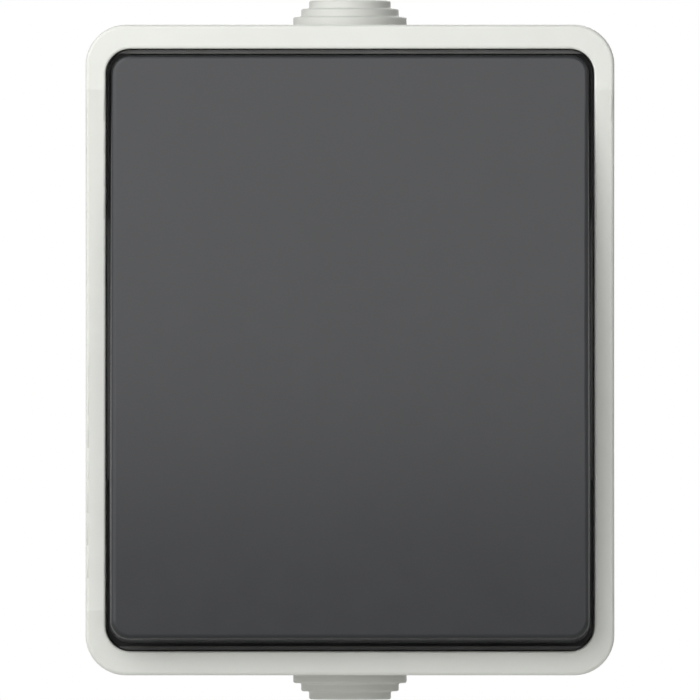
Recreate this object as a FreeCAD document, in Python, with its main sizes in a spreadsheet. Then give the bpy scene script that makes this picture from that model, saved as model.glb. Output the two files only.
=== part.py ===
import FreeCAD, Part
import math
import os
import re

import Sketcher

# Surface mounted light switch with one large rocker, for damp rooms.
#
# Frame: the wall is the plane Y = 0 and the front looks to -Y, with +Z up and +X to the right. The origin is
# the middle of the housing's back, on the wall. A "depth" is counted from the wall to the front, so it is -Y.
#
# How it is built: a back box is screwed to the wall and carries the switch insert. A cover frame closes it on
# a seal, and two screws behind the rocker pull a carrier against the cover's inner ledge, with a rubber
# membrane clamped between. The rocker snaps on to the carrier. It pushes through the membrane on a toggle,
# whose sprung plunger throws a contact lever from one fixed contact to the other.

# Sizes in millimetres and degrees. Each can be set by itself.
SIZES = {
    # Housing
    "housing_width": 66,
    "housing_height": 81.2,
    "housing_depth": 47,
    "seam_depth": 24,
    "corner_radius": 5,
    "wall": 2.6,
    "back_wall": 2.2,
    "front_edge_radius": 0.45,
    "inner_edge_radius": 0.3,
    "seam_chamfer": 0.3,
    # Cover frame
    "rim_side": 2.5,
    "rim_end": 3,
    "opening_radius": 3.1,
    "opening_drop": 8.8,
    "ledge_thickness": 2,
    "ledge_reach": 3,
    "scoop_margin": 8.1,
    "scoop_depth": 2.6,
    # Seal between back box and cover
    "groove_land": 0.7,
    "groove_width": 1.2,
    "groove_depth": 1.4,
    "tongue_height": 0.3,
    "tongue_clearance": 0.1,
    # Wall slots and knock-out
    "slot_inset": 8,
    "slot_width": 4.4,
    "slot_length": 8,
    "collar_rim": 1.6,
    "collar_height": 1.2,
    "knockout_diameter": 20,
    "knockout_groove": 0.8,
    "knockout_skin": 0.9,
    # Cable grommets
    "grommet_tip": 10.3,
    "grommet_ring": 1,
    "grommet_base": 1.35,
    "grommet_step": 1.03,
    "grommet_undercut": 0.9,
    "grommet_lip": 1.6,
    "grommet_lip_thickness": 1.4,
    "grommet_skin": 0.9,
    "grommet_clearance": 0.1,
    # Rocker carrier
    "membrane_thickness": 0.8,
    "carrier_clearance": 0.15,
    "carrier_plate": 2,
    "window_side_room": 8,
    "window_end_room": 2.5,
    "window_radius": 2,
    "fence_thickness": 0.45,
    "fence_drop": 1.8,
    "lug_gap": 0.27,
    "lug_width": 3.85,
    "lug_length": 32.5,
    "upright_inside": 21,
    "upright_thickness": 2.5,
    "upright_length": 8,
    "upright_lip": 1.2,
    "snap_tightness": 0.5,
    # Rocker
    "rocker_tilt": 4,
    "rocker_gap_side": 0.7,
    "rocker_gap_end": 1.1,
    "rocker_radius": 2.3,
    "rocker_rise": 6,
    "skirt_gap": 0.85,
    "rocker_draft": 3,
    "rocker_wall": 1.8,
    "rocker_crown": 0.5,
    "rocker_edge_radius": 0.6,
    "pin_diameter": 3,
    "pin_clearance": 0.05,
    "web_thickness": 2,
    "web_gap": 1,
    "web_rim": 0.4,
    "web_clearance": 0.3,
    "web_length": 10,
    "pusher_inset": 1.5,
    "pusher_width": 12,
    "pusher_thickness": 1.6,
    "pusher_reach": 2.4,
    "rib_thickness": 1.2,
    "rib_height": 1.6,
    "rib_offset": 22,
    "rib_room": 4,
    # Cover screws
    "cover_screw_side": 6.1,
    "cover_screw_end": 5.6,
    "cover_screw_diameter": 2.9,
    "cover_screw_length": 18,
    "screw_head_diameter": 5.4,
    "screw_head_height": 1.7,
    "screw_head_edge": 0.6,
    "screw_point": 0.9,
    "screw_recess": 0.9,
    "recess_room": 0.5,
    "screw_clearance": 0.1,
    "cross_length": 3,
    "cross_width": 0.8,
    "cross_depth": 1,
    "boss_diameter": 7,
    "boss_gap": 0.6,
    "boss_rib": 1.6,
    "boss_rib_drop": 2,
    # Switch insert
    "toggle_drop": 4.2,
    "insert_side_room": 8.4,
    "insert_height": 44,
    "insert_radius": 1.5,
    "insert_wall": 1.6,
    "chamber_divider": 1.6,
    "chamber_cross_wall": 4,
    "socket_depth": 18.8,
    "socket_floor": 2,
    "insert_cover_thickness": 1.6,
    "hook_inset": 8,
    "hook_width": 5,
    "hook_thickness": 1.2,
    "hook_length": 7,
    "hook_barb": 0.6,
    "hook_clearance": 0.1,
    "trough_width": 12.4,
    "trough_room": 2.5,
    "entry_diameter": 3.4,
    "entry_rise": 0.3,
    "ear_rise": 3.5,
    "ear_thickness": 2.4,
    "ear_height": 10,
    "ear_clearance": 0.3,
    "ear_screw_inset": 3.1,
    "pillar_diameter": 6.4,
    "insert_screw_diameter": 2.9,
    "insert_screw_length": 8,
    "pilot_room": 1,
    # Toggle
    "hub_rim": 0.7,
    "hub_clearance": 0.4,
    "toggle_width": 13,
    "toggle_height": 25,
    "toggle_head": 2,
    "toggle_rise": 5.6,
    "cheek_gap": 0.8,
    "cheek_thickness": 2,
    "cheek_length": 7,
    "tube_wall": 1.1,
    "tube_reach": 8.5,
    "tube_room": 1.5,
    "bore_clearance": 0.1,
    "bore_top": 2,
    "plunger_reach": 12,
    "plunger_diameter": 5,
    "plunger_wall": 0.7,
    "plunger_tip": 1.4,
    "plunger_shoulder": 1.4,
    "plunger_length": 4.6,
    "plunger_floor": 2,
    "spring_wire": 0.5,
    "spring_clearance": 0.1,
    # Contact lever
    "lever_tilt": 7,
    "lever_clearance": 0.1,
    "lever_thickness": 0.8,
    "lever_width": 6,
    "lever_length": 30,
    "notch_half": 0.9,
    "notch_depth": 0.3,
    "contact_inset": 2,
    "contact_diameter": 3,
    "contact_height": 1,
    "contact_dome": 6,
    "contact_clearance": 0.15,
    "contact_margin": 0.3,
    # Terminals
    "strip_thickness": 0.8,
    "strip_clearance": 0.2,
    "arm_width": 4,
    "bridge_offset": 0.6,
    "edge_half": 0.4,
    "edge_slope": 0.8,
    "clamp_side_room": 2.3,
    "clamp_thickness": 0.4,
    "clamp_bend": 1.8,
    "clamp_head_room": 1.7,
    "clamp_tip": 11.6,
    "button_width": 4.6,
    "button_height": 2.6,
    "button_rise": 2,
    "button_shoulder": 0.9,
    "button_collar": 1.6,
    "button_clearance": 0.2,
    "button_gap": 0.3,
    "stem_width": 3,
    "stem_height": 2,
    # Sealing membrane
    "hat_skin": 0.6,
    "hat_gap": 0.3,
    "hat_side_room": 2.5,
    "hat_end_room": 3,
    "hat_slope": 1,
    "hat_radius": 2,
    # Earth terminal
    "earth_side": 13.4,
    "earth_end": 7,
    "earth_width": 14,
    "earth_height": 9,
    "earth_depth": 7.4,
    "earth_wall": 1.2,
    "earth_bar_height": 3,
    "seat_rib": 1,
    "seat_rib_height": 1.5,
    "seat_clearance": 0.2,
}
SPRING_TURNS = 4

# Places worked out from the sizes. The depths come first, from the housing's rim back to the insert's floor.
PLACES = {
    "ledge": "housing_depth - opening_drop",
    "carrier_back": "ledge + membrane_thickness",
    "carrier_front": "carrier_back + carrier_plate",
    "web_radius": "pin_diameter / 2 + web_rim",
    "pivot": "carrier_front + web_radius + web_clearance",
    "rocker_edge": "pivot + rocker_rise",
    "skirt_edge": "carrier_front + rocker_height / 2 * sin(rocker_tilt) + skirt_gap",
    "rocker_skirt": "rocker_edge - skirt_edge",
    "rocker_inside": "rocker_edge - rocker_wall",
    "pusher_end": "pivot - pusher_reach",
    "upright_top": "pivot + pin_diameter / 2 + upright_lip",
    "lug_top": "skirt_edge - lug_length / 2 * sin(rocker_tilt) - lug_gap",
    "boss_top": "ledge - ledge_thickness - boss_gap",
    "toggle_axis": "ledge - toggle_drop",
    "toggle_top": "toggle_axis + toggle_rise",
    "hub_radius": "pin_diameter / 2 + hub_rim",
    "insert_front": "toggle_axis - hub_radius - hub_clearance",
    "socket_front": "insert_front - insert_cover_thickness",
    "socket_back": "socket_front - socket_depth",
    "ear_back": "socket_back + ear_rise",
    "ear_front": "ear_back + ear_thickness",
    "chamber_floor": "socket_back + socket_floor",
    "strip_top": "chamber_floor + strip_thickness",
    "entry_depth": "strip_top + entry_diameter / 2 + entry_rise",
    "tip_depth": "toggle_axis - plunger_reach",
    "cup_floor": "tip_depth + plunger_tip + plunger_floor",
    "lever_axis": "tip_depth - lever_clearance - lever_thickness",
    "contact_face": (
        "lever_axis + (contact_dome - contact_height) * cos(lever_tilt)"
        " - contact_offset * sin(lever_tilt) - contact_dome - contact_clearance"
    ),
    "arm_top": "contact_face - contact_height",
    "clamp_top": "socket_front - clamp_bend - clamp_head_room",
    "hat_inside": "toggle_axis + toggle_rise / cos(rocker_tilt) + hat_gap",
    "cable_depth": "(seam_depth - groove_depth + back_wall) / 2",
    # Widths and heights of the housing, the rocker and the carrier
    "cavity_width": "housing_width - 2 * wall",
    "cavity_height": "housing_height - 2 * wall",
    "cavity_radius": "corner_radius - wall",
    "opening_width": "housing_width - 2 * rim_side",
    "opening_height": "housing_height - 2 * rim_end",
    "scoop_half": "housing_height / 2 - scoop_margin",
    "scoop_radius": "(scoop_half ^ 2 + scoop_depth ^ 2) / (2 * scoop_depth)",
    "rocker_width": "opening_width - 2 * rocker_gap_side",
    "rocker_height": "opening_height - 2 * rocker_gap_end",
    "skirt_spread": "rocker_skirt * tan(rocker_draft)",
    "skirt_width": "rocker_width + 2 * skirt_spread",
    "skirt_height": "rocker_height + 2 * skirt_spread",
    "crown_radius": "(rocker_height ^ 2 / 4 + rocker_crown ^ 2) / (2 * rocker_crown)",
    "pusher_offset": "toggle_height / 2 - pusher_inset",
    "web_face": "upright_inside - web_gap",
    "carrier_width": "opening_width - 2 * carrier_clearance",
    "carrier_height": "opening_height - 2 * carrier_clearance",
    "carrier_radius": "opening_radius - carrier_clearance",
    "fence_top": "housing_depth - fence_drop",
    "fence_inside": "carrier_height / 2 - fence_thickness",
    "hat_width": "toggle_width + 2 * hat_side_room",
    "hat_height": "toggle_height + 2 * hat_end_room",
    "window_width": "hat_width + 2 * window_side_room",
    "window_height": "hat_height + 2 * window_end_room",
    "snap_mouth": "pin_diameter - snap_tightness",
    "cover_screw_x": "opening_width / 2 - cover_screw_side",
    "cover_screw_z": "opening_height / 2 - cover_screw_end",
    "slot_z": "cavity_height / 2 - slot_inset",
    "earth_x": "cavity_width / 2 - earth_side",
    "earth_z": "cavity_height / 2 - earth_end",
    # Grommets
    "grommet_middle": "grommet_tip + 2 * grommet_ring",
    "grommet_outer": "grommet_tip + 4 * grommet_ring",
    "grommet_neck": "grommet_outer - 2 * grommet_undercut",
    # Insert
    "insert_width": "cavity_width - 2 * insert_side_room",
    "ear_screw_x": "cavity_width / 2 - ear_screw_inset",
    "chamber_inner": "chamber_cross_wall / 2",
    "chamber_height": "insert_height / 2 - insert_wall - chamber_inner",
    "chamber_z": "chamber_inner + chamber_height / 2",
    "chamber_left": "trough_width / 2 + chamber_divider",
    "chamber_width": "insert_width / 2 - insert_wall - chamber_left",
    "chamber_x": "chamber_left + chamber_width / 2",
    "trough_height": "lever_length + 2 * trough_room",
    "divider_x": "trough_width / 2 + chamber_divider / 2",
    "hook_z": "insert_height / 2 - hook_inset",
    "hook_inside": "insert_width / 2 + hook_clearance",
    "hook_end": "insert_front - hook_length",
    "contact_offset": "lever_length / 2 - contact_inset",
    "bridge_z": "chamber_inner + arm_width / 2 + bridge_offset",
    "tube_bore": "plunger_diameter + 2 * bore_clearance",
    "tube_diameter": "tube_bore + 2 * tube_wall",
    "cheek_inside": "toggle_width / 2 + cheek_gap",
    "clamp_foot": "chamber_inner + strip_clearance",
    "clamp_far": "clamp_foot + 2 * clamp_bend",
    "clamp_end": "clamp_foot + clamp_tip",
    "clamp_slope": "(clamp_top - strip_top - strip_clearance) / (clamp_end - clamp_far)",
    "button_z": "(clamp_far + clamp_end) / 2",
    "stem_end": "clamp_top - (button_z - stem_height / 2 - clamp_far) * clamp_slope + button_gap",
}

doc = FreeCAD.newDocument("surface_mounted_light_switch")
sheet = doc.addObject("Spreadsheet::Sheet", "Sizes")
for row, (alias, size) in enumerate(SIZES.items(), start=1):
    sheet.set(f"A{row}", alias)
    sheet.set(f"B{row}", str(size))
    sheet.setAlias(f"B{row}", alias)
doc.recompute()

Vector = FreeCAD.Vector
Constraint = Sketcher.Constraint
NEAR = 0.01
NODES = []


def formula(text):
    """Writes a size formula in the sheet's own names, with each place worked out from its sizes."""

    def word(match):
        name = match[0]
        if name in PLACES:
            return f"({formula(PLACES[name])})"
        return f"Sizes.{name}" if name in SIZES else name

    return re.sub(r"[a-z_]+", word, text)


def number(text):
    """The present value of a size formula."""
    return float(sheet.evalExpression(formula(text)))


# Sketches


def new_body(label):
    made = doc.addObject("PartDesign::Body", label)
    made.Label = label
    return made


def new_sketch(body, name, role, level="0"):
    """Sketch on one of the body's own origin planes, moved along that plane's normal by level."""
    made = body.newObject("Sketcher::SketchObject", f"{body.Label}_{name}")
    plane = next(o for o in body.Origin.OriginFeatures if o.Role == role)
    made.AttachmentSupport = [(plane, "")]
    made.MapMode = "FlatFace"
    made.setExpression("AttachmentOffset.Base.z", formula(level))
    return made


def front_sketch(body, name, depth="0"):
    """Sketch seen from the front: x to the right, y up, at a depth."""
    return new_sketch(body, name, "XZ_Plane", depth)


def side_sketch(body, name, x="0"):
    """Sketch seen from the right: its x runs back to the wall, so a depth is -x, and its y runs up."""
    return new_sketch(body, name, "YZ_Plane", x)


def top_sketch(body, name, z="0"):
    """Sketch seen from above: x to the right, and its y runs back to the wall, so a depth is -y."""
    return new_sketch(body, name, "XY_Plane", z)


def bind(sketch, constraint, text):
    index = sketch.addConstraint(constraint)
    sketch.setExpression(f"Constraints[{index}]", formula(text))


def hold(sketch, kind, shape, point, text):
    """Holds one coordinate of a point, DistanceX or DistanceY, counted from the sketch's origin.

    In a sketch, shape -1 is the axis across, whose first point is the origin, and shape -2 is the axis up."""
    value = number(text)
    if abs(value) < 1e-9:
        sketch.addConstraint(Constraint("PointOnObject", shape, point, -2 if kind == "DistanceX" else -1))
    elif value > 0:
        bind(sketch, Constraint(kind, -1, 1, shape, point, value), text)
    else:
        bind(sketch, Constraint(kind, shape, point, -1, 1, -value), f"-({text})")


def rounded_rectangle(sketch, width, height, radius, x="0", y="0"):
    """Rectangle with round corners, centred at x and y."""
    half_width, half_height, r = number(width) / 2, number(height) / 2, number(radius)
    middle = Vector(number(x), number(y), 0)
    first = sketch.GeometryCount
    quarter = math.pi / 2
    for n, (along, across) in enumerate([(half_width, half_height), (half_height, half_width)] * 2):
        spin = FreeCAD.Rotation(Vector(0, 0, 1), 90 * n)
        start = middle + spin.multVec(Vector(r - along, -across, 0))
        end = middle + spin.multVec(Vector(along - r, -across, 0))
        centre = middle + spin.multVec(Vector(along - r, r - across, 0))
        ring = Part.Circle(centre, Vector(0, 0, 1), r)
        sketch.addGeometry(Part.LineSegment(start, end))
        sketch.addGeometry(Part.ArcOfCircle(ring, (n - 1) * quarter, n * quarter))
    for n in range(0, 8, 2):
        line, arc, after = first + n, first + n + 1, first + (n + 2) % 8
        sketch.addConstraint(Constraint("Tangent", line, 2, arc, 1))
        sketch.addConstraint(Constraint("Tangent", arc, 2, after, 1))
        sketch.addConstraint(Constraint("Vertical" if n % 4 else "Horizontal", line))
        if n:
            sketch.addConstraint(Constraint("Equal", first + 1, arc))
    bind(sketch, Constraint("Radius", first + 1, r), radius)
    hold(sketch, "DistanceY", first, 1, f"({y}) - ({height}) / 2")
    hold(sketch, "DistanceX", first + 2, 1, f"({x}) + ({width}) / 2")
    hold(sketch, "DistanceY", first + 4, 1, f"({y}) + ({height}) / 2")
    hold(sketch, "DistanceX", first + 6, 1, f"({x}) - ({width}) / 2")


def rectangle(sketch, width, height, x="0", y="0"):
    """Rectangle with sharp corners, centred at x and y."""
    left, right = f"({x}) - ({width}) / 2", f"({x}) + ({width}) / 2"
    low, high = f"({y}) - ({height}) / 2", f"({y}) + ({height}) / 2"
    outline(sketch, [(left, low), (right, low), (right, high), (left, high)])


def upright_slot(sketch, width, length, x="0", y="0"):
    """Slot with round ends that stands upright, centred at x and y."""
    left, right = f"({x}) - ({width}) / 2", f"({x}) + ({width}) / 2"
    low, high = f"({y}) - ({length} - ({width})) / 2", f"({y}) + ({length} - ({width})) / 2"
    corners = [(right, low), (right, high), (left, high), (left, low)]
    outline(sketch, corners, {1: ("y", high, 1), 3: ("y", low, 1)})


def circle(sketch, diameter, x="0", y="0"):
    shape = sketch.addGeometry(
        Part.Circle(Vector(number(x), number(y), 0), Vector(0, 0, 1), number(diameter) / 2)
    )
    bind(sketch, Constraint("Diameter", shape, number(diameter)), diameter)
    hold(sketch, "DistanceX", shape, 3, x)
    hold(sketch, "DistanceY", shape, 3, y)


def outline(sketch, corners, arcs=()):
    """Closed outline through the corners, each a pair of formulas.

    arcs makes some of its sides round: side number: (axis, place of the centre on that axis, 1 where the arc
    turns to the left along the outline, or -1)."""
    points = [Vector(number(x), number(y), 0) for x, y in corners]
    first = sketch.GeometryCount
    count = len(corners)
    for n, start in enumerate(points):
        end = points[(n + 1) % count]
        if n not in arcs:
            sketch.addGeometry(Part.LineSegment(start, end))
            continue
        axis, level, way = arcs[n]
        middle = (start + end) * 0.5
        normal = Vector(start.y - end.y, end.x - start.x, 0)
        step = (number(level) - getattr(middle, axis)) / getattr(normal, axis)
        centre = middle + normal * step
        angles = [math.atan2(p.y - centre.y, p.x - centre.x) for p in (start, end)]
        ring = Part.Circle(centre, Vector(0, 0, 1), (start - centre).Length)
        sketch.addGeometry(Part.ArcOfCircle(ring, *(angles if way > 0 else reversed(angles))))
    for n in range(count):
        after = (n + 1) % count
        leaves = 1 if n in arcs and arcs[n][2] < 0 else 2
        arrives = 2 if after in arcs and arcs[after][2] < 0 else 1
        sketch.addConstraint(Constraint("Coincident", first + n, leaves, first + after, arrives))
    for n, (x, y) in enumerate(corners):
        starts = 2 if n in arcs and arcs[n][2] < 0 else 1
        hold(sketch, "DistanceX", first + n, starts, x)
        hold(sketch, "DistanceY", first + n, starts, y)
        if n in arcs:
            axis, level, _ = arcs[n]
            hold(sketch, "DistanceX" if axis == "x" else "DistanceY", first + n, 3, level)


# Features


def settle(body, feature, grows=None):
    """Works the feature out and stops where it failed or changed nothing."""
    before = body.Tip.BaseFeature.Shape.Volume if body.Tip.BaseFeature else 0
    doc.recompute()
    if not feature.isValid() or feature.Shape.isNull():
        raise RuntimeError(f"{feature.Label} failed")
    change = feature.Shape.Volume - before
    if grows is not None and (change <= 1e-6 if grows else change >= -1e-6):
        raise RuntimeError(f"{feature.Label} changes nothing: {change}")
    return feature


def extrude(kind, body, sketch, length, forward, both, taper):
    feature = body.newObject(f"PartDesign::{kind}", f"{sketch.Label}_{kind.lower()}")
    feature.Profile = sketch
    feature.setExpression("Length", formula(length))
    if taper:
        feature.setExpression("TaperAngle", formula(taper))
    feature.Reversed = not forward if kind == "Pad" else forward
    if both:
        feature.SideType = "Symmetric"
    return settle(body, feature, grows=kind == "Pad")


def pad(body, sketch, length, forward=True, both=False, taper=None):
    """Adds material from the sketch along its normal, or against it, or half to each side."""
    return extrude("Pad", body, sketch, length, forward, both, taper)


def pocket(body, sketch, length, forward=False, both=False, taper=None):
    """Cuts from the sketch against its normal, or along it, or half to each side."""
    return extrude("Pocket", body, sketch, length, forward, both, taper)


def turn(body, sketch, kind="Revolution"):
    """Turns the sketch once round its own upright axis."""
    feature = body.newObject(f"PartDesign::{kind}", f"{sketch.Label}_turned")
    feature.Profile = sketch
    feature.ReferenceAxis = (sketch, ["V_Axis"])
    feature.Angle = 360
    return settle(body, feature, grows=kind == "Revolution")


def mirror(body, features, role):
    """Repeats features on the other side of one of the body's origin planes."""
    made = body.newObject("PartDesign::Mirrored", f"{features[-1].Label}_mirrored")
    made.Originals = features
    plane = next(o for o in body.Origin.OriginFeatures if o.Role == role)
    made.MirrorPlane = (plane, [""])
    body.Tip = made
    return settle(body, made)


def dress(kind, body, size, wanted):
    """Rounds or chamfers the edges of the body that wanted picks."""
    base = body.Tip
    names = [f"Edge{n}" for n, edge in enumerate(base.Shape.Edges, start=1) if wanted(edge)]
    if not names:
        raise RuntimeError(f"{body.Label} has no such edge")
    feature = body.newObject(f"PartDesign::{kind}", f"{base.Label}_{kind.lower()}")
    feature.Base = (base, names)
    feature.setExpression("Radius" if kind == "Fillet" else "Size", formula(size))
    return settle(body, feature)


def samples(edge):
    """Points at the ends and the quarters of an edge."""
    first, last = edge.FirstParameter, edge.LastParameter
    return [edge.valueAt(first + (last - first) * n / 4) for n in range(5)]


def off_rectangle(point, width, height, radius):
    """How far a point lies outside a rounded rectangle seen from the front, negative inside."""
    dx = abs(point.x) - (width / 2 - radius)
    dz = abs(point.z) - (height / 2 - radius)
    outside = math.hypot(max(dx, 0), max(dz, 0))
    return outside + min(max(dx, dz), 0) - radius


def on_rectangle(edge, width, height, radius, low, high):
    """Whether an edge follows a rounded rectangle's sides, with its depth between low and high."""
    sizes = number(width), number(height), number(radius)
    near = all(abs(off_rectangle(p, *sizes)) < NEAR for p in samples(edge))
    return near and all(low - NEAR < -p.y < high + NEAR for p in samples(edge))


def place(made, text):
    made.setExpression("Placement", text)
    doc.recompute()
    return made


def tilted(axis_depth, angle):
    """Placement turned about a line along X at a depth, with a positive angle bringing the top forward."""
    centre = f"vector(0; -({formula(axis_depth)}); 0)"
    return f"placement(vector(0; 0; 0); rotation(vector(1; 0; 0); {formula(angle)}); {centre})"


def node(made, label=None):
    """Lists an object as a piece of the switch, under its label."""
    made.Label = label or made.Label
    NODES.append(made)
    return made


def group(label, members):
    """Like pieces that share one node, each a solid of its own."""
    made = doc.addObject("Part::Compound", label)
    made.Links = members
    doc.recompute()
    return node(made, label)


# Housing


def make_base_box():
    """Back box: an open tray with the seal's groove in its rim, screw slots, bosses and pillars."""
    body = new_body("base_box")
    block = front_sketch(body, "block")
    rounded_rectangle(block, "housing_width", "housing_height", "corner_radius")
    pad(body, block, "seam_depth")
    cavity = front_sketch(body, "cavity", "seam_depth")
    rounded_rectangle(cavity, "cavity_width", "cavity_height", "cavity_radius")
    pocket(body, cavity, "seam_depth - back_wall")
    groove = front_sketch(body, "groove", "seam_depth")
    seal_ring(groove, "0")
    pocket(body, groove, "groove_depth")
    cable = top_sketch(body, "cable_holes")
    circle(cable, "grommet_neck + 2 * grommet_clearance", "0", "-cable_depth")
    pocket(body, cable, "housing_height + 10", both=True)

    collar = front_sketch(body, "collar", "back_wall")
    upright_slot(
        collar, "slot_width + 2 * collar_rim", "slot_length + 2 * collar_rim", y="slot_z"
    )
    collar_pad = pad(body, collar, "collar_height")
    slot = front_sketch(body, "slot", "back_wall + collar_height")
    upright_slot(slot, "slot_width", "slot_length", y="slot_z")
    slot_cut = pocket(body, slot, "back_wall + collar_height + 1")
    mirror(body, [collar_pad, slot_cut], "XY_Plane")

    pillar = front_sketch(body, "pillar", "back_wall")
    circle(pillar, "pillar_diameter", "ear_screw_x")
    pillar_pad = pad(body, pillar, "ear_back - back_wall")
    pilot = front_sketch(body, "pilot", "ear_back")
    circle(pilot, "insert_screw_diameter + 2 * screw_clearance", "ear_screw_x")
    pilot_cut = pocket(body, pilot, "insert_screw_length - ear_thickness + pilot_room")
    mirror(body, [pillar_pad, pilot_cut], "YZ_Plane")

    # The two bosses for the cover screws stand in opposite corners, each with a rib to the side wall.
    for side, name in ((-1, "upper"), (1, "lower")):
        x = f"{side} * cover_screw_x"
        z = f"{-side} * cover_screw_z"
        boss = front_sketch(body, f"{name}_boss", "back_wall")
        circle(boss, "boss_diameter", x, z)
        pad(body, boss, "boss_top - back_wall")
        rib = front_sketch(body, f"{name}_rib", "back_wall")
        start = "(cover_screw_x + cover_screw_diameter)"
        end = "((cavity_width + wall) / 2)"
        rectangle(rib, f"{end} - {start}", "boss_rib", f"{side} * ({end} + {start}) / 2", z)
        pad(body, rib, "seam_depth - groove_depth - back_wall - boss_rib_drop")
        hole = front_sketch(body, f"{name}_hole", "boss_top")
        circle(hole, "cover_screw_diameter + 2 * screw_clearance", x, z)
        pocket(body, hole, "cover_screw_length")

    knockout = front_sketch(body, "knockout", "back_wall")
    circle(knockout, "knockout_diameter")
    circle(knockout, "knockout_diameter - 2 * knockout_groove")
    pocket(body, knockout, "back_wall - knockout_skin")
    seat = front_sketch(body, "earth_seat", "back_wall")
    for grown in ("2 * (seat_clearance + seat_rib)", "2 * seat_clearance"):
        rectangle(seat, f"earth_width + {grown}", f"earth_height + {grown}", "-earth_x", "-earth_z")
    pad(body, seat, "seat_rib_height")
    dress(
        "Chamfer",
        body,
        "seam_chamfer",
        lambda e: on_rectangle(
            e, "housing_width", "housing_height", "corner_radius", number("seam_depth"), number("seam_depth")
        ),
    )
    return node(body)


def seal_ring(sketch, clearance):
    """Outline of the seal's groove, or of what fits in it with a clearance on each side."""
    for inset, sign in (("groove_land", 1), ("groove_land + groove_width", -1)):
        away = f"2 * ({inset} + {sign} * {clearance})"
        rounded_rectangle(
            sketch, f"housing_width - {away}", f"housing_height - {away}", f"corner_radius - {away} / 2"
        )


def make_housing_gasket():
    body = new_body("housing_gasket")
    ring = front_sketch(body, "ring", "seam_depth - groove_depth")
    seal_ring(ring, "0")
    pad(body, ring, "groove_depth - tongue_height")
    return node(body)


def make_cover_frame():
    """Cover: straight walls, a deep opening with a ledge for the carrier, and scooped side rims."""
    body = new_body("cover_frame")
    block = front_sketch(body, "block", "seam_depth")
    rounded_rectangle(block, "housing_width", "housing_height", "corner_radius")
    pad(body, block, "housing_depth - seam_depth")
    opening = front_sketch(body, "opening", "housing_depth")
    rounded_rectangle(opening, "opening_width", "opening_height", "opening_radius")
    pocket(body, opening, "opening_drop")
    inside = front_sketch(body, "inside", "seam_depth")
    rounded_rectangle(inside, "cavity_width", "cavity_height", "cavity_radius")
    pocket(body, inside, "ledge - ledge_thickness - seam_depth", forward=True)
    window = front_sketch(body, "window", "ledge")
    rounded_rectangle(
        window, "opening_width - 2 * ledge_reach", "opening_height - 2 * ledge_reach", "opening_radius"
    )
    pocket(body, window, "ledge_thickness + 1")
    tongue = front_sketch(body, "tongue", "seam_depth")
    seal_ring(tongue, "tongue_clearance")
    pad(body, tongue, "tongue_height", forward=False)

    scoop = side_sketch(body, "scoop")
    outline(
        scoop,
        [
            ("-housing_depth", "-scoop_half"),
            ("-housing_depth - 5", "-scoop_half"),
            ("-housing_depth - 5", "scoop_half"),
            ("-housing_depth", "scoop_half"),
        ],
        {3: ("x", "-housing_depth + scoop_depth - scoop_radius", -1)},
    )
    pocket(body, scoop, "housing_width + 10", both=True)

    # The rim's outer edge is rounded more than the opening's, along the scoops too.
    low = number("housing_depth - scoop_depth")
    high = number("housing_depth")
    dress(
        "Fillet",
        body,
        "front_edge_radius",
        lambda e: on_rectangle(e, "housing_width", "housing_height", "corner_radius", low, high),
    )
    dress(
        "Fillet",
        body,
        "inner_edge_radius",
        lambda e: on_rectangle(e, "opening_width", "opening_height", "opening_radius", low, high),
    )
    seam = number("seam_depth")
    dress(
        "Chamfer",
        body,
        "seam_chamfer",
        lambda e: on_rectangle(e, "housing_width", "housing_height", "corner_radius", seam, seam),
    )
    return node(body)


def make_grommet(label, side):
    """Stepped rubber grommet, cut to the cable's size when it is fitted, and closed as it comes."""
    body = new_body(label)
    profile = side_sketch(body, "profile")
    bore = "grommet_tip / 2 - grommet_skin"
    outline(
        profile,
        [
            ("0", "grommet_base + grommet_step"),
            ("0", "grommet_base + 2 * grommet_step"),
            ("grommet_tip / 2", "grommet_base + 2 * grommet_step"),
            ("grommet_tip / 2", "grommet_base + grommet_step"),
            ("grommet_middle / 2", "grommet_base + grommet_step"),
            ("grommet_middle / 2", "grommet_base"),
            ("grommet_outer / 2", "grommet_base"),
            ("grommet_outer / 2", "0"),
            ("grommet_neck / 2", "0"),
            ("grommet_neck / 2", "-wall"),
            ("grommet_neck / 2 + grommet_lip", "-wall"),
            ("grommet_neck / 2 + grommet_lip", "-wall - grommet_lip_thickness"),
            (f"{bore} + grommet_ring", "-wall - grommet_lip_thickness"),
            (bore, "0"),
            (bore, "grommet_base + grommet_step"),
        ],
    )
    turn(body, profile)
    spin = "rotation(vector(1; 0; 0); 0)" if side > 0 else "rotation(vector(1; 0; 0); 180)"
    z = formula(f"{side} * housing_height / 2")
    place(body, f"placement(vector(0; -{formula('cable_depth')}; {z}); {spin})")
    return node(body)


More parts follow.
